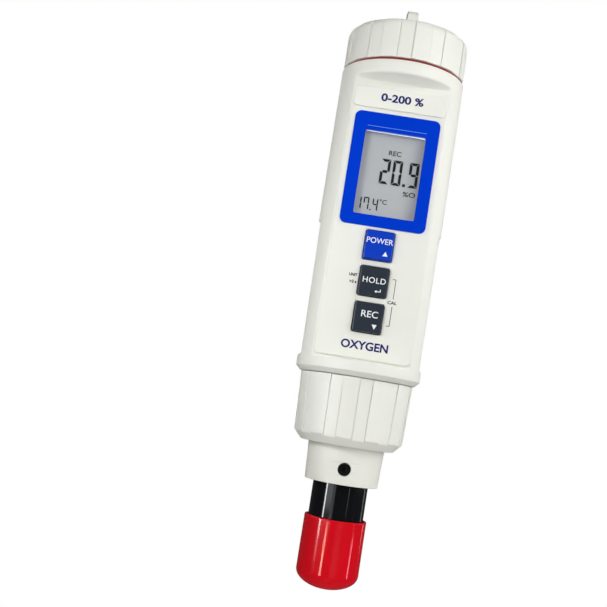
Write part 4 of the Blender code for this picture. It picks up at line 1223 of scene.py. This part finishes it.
def make_light(name, place, target_z, size, size_y, power, colour=PLAIN):
    """A soft box that faces the pen's axis at a height. The camera doesn't see it."""
    data = bpy.data.lights.new(name, "AREA")
    data.shape = "RECTANGLE"
    data.size = size
    data.size_y = size_y
    data.energy = power
    data.color = colour
    light = add_object(name, data)
    light.location = place
    light.rotation_mode = "QUATERNION"
    away = Vector((0.0, 0.0, target_z)) - Vector(place)
    light.rotation_quaternion = away.to_track_quat("-Z", "Y")
    light.visible_camera = False
    return light


def make_lights():
    """Fills leave no mirror image on the pen, and strips show only as a mirror image."""
    fills = [(name, on_circle(azimuth, elevation, FAR_DISTANCE), 0.0, FAR_SIZE, power)
        for name, azimuth, elevation, power in FAR_FILLS]
    fills += [(name, place, target_z, NEAR_SIZE, power) for name, place, target_z, power in NEAR_FILLS]
    for name, place, target_z, size, power in fills:
        make_light(name, place, target_z, size, size, power).visible_glossy = False
    for name, azimuth, width, bottom, top, brightness, colour in STRIPS:
        centre, height = (bottom + top) / 2, top - bottom
        place = on_circle(azimuth, 0.0, STRIP_DISTANCE) + Vector((0.0, 0.0, centre))
        power = brightness * math.pi * width * height
        make_light(name, place, centre, width, height, power, colour).visible_diffuse = False


def make_world():
    """A white surround for the camera, and a dimmer one as light on the pen."""
    world = bpy.data.worlds.new("studio")
    bpy.context.scene.world = world
    world.use_nodes = True
    tree = world.node_tree
    seen = tree.nodes["Background"]
    feed_shader(tree, seen, Color=(1.0, 1.0, 1.0, 1.0), Strength=1.0)
    dim = add_node(tree, "Background", Color=(1.0, 0.995, 0.985, 1.0), Strength=SURROUND_LIGHT)
    path = add_node(tree, "LightPath")
    mix_surfaces(tree, path.outputs["Is Camera Ray"], dim, seen)


def make_floor():
    """A pale round floor that fades into the white surround."""
    radius = FLOOR_R * MM
    mesh = bpy.data.meshes.new("floor")
    shape = bmesh.new()
    bmesh.ops.create_circle(shape, cap_ends=True, segments=96, radius=radius)
    shape.to_mesh(mesh)
    shape.free()
    floor = add_object("floor", mesh)
    floor.location = (0.0, 0.0, FLOOR_Z * MM)
    floor.visible_glossy = False
    tree, shader = empty_material("floor_paper")
    feed_shader(tree, shader, Base_Color=(0.86, 0.86, 0.86, 1.0), Roughness=0.9,
        Emission_Color=(1.0, 1.0, 1.0, 1.0), Emission_Strength=0.3)
    length = add_node(tree, "VectorMath", object_place(tree), operation="LENGTH")
    share = spread(tree, length.outputs["Value"], radius * 0.45, radius * 0.96, 0.0, 1.0)
    mix_surfaces(tree, share, shader, add_node(tree, "BsdfTransparent"))
    mesh.materials.append(MATERIALS["floor_paper"])


bpy.context.scene.view_settings.view_transform = "Standard"
make_materials()
make_camera()
make_world()
make_floor()
make_lights()
paint_nodes()
make_housing()
make_name_plate()
make_front_panel()
make_bezel()
make_display()
make_keys()
make_battery_cap()
make_collar()
make_seals()
make_neck()
make_neck_screw()
make_barrel()
make_membrane_head()
make_protective_cap()
make_reading()
make_key_legends()
make_panel_prints()
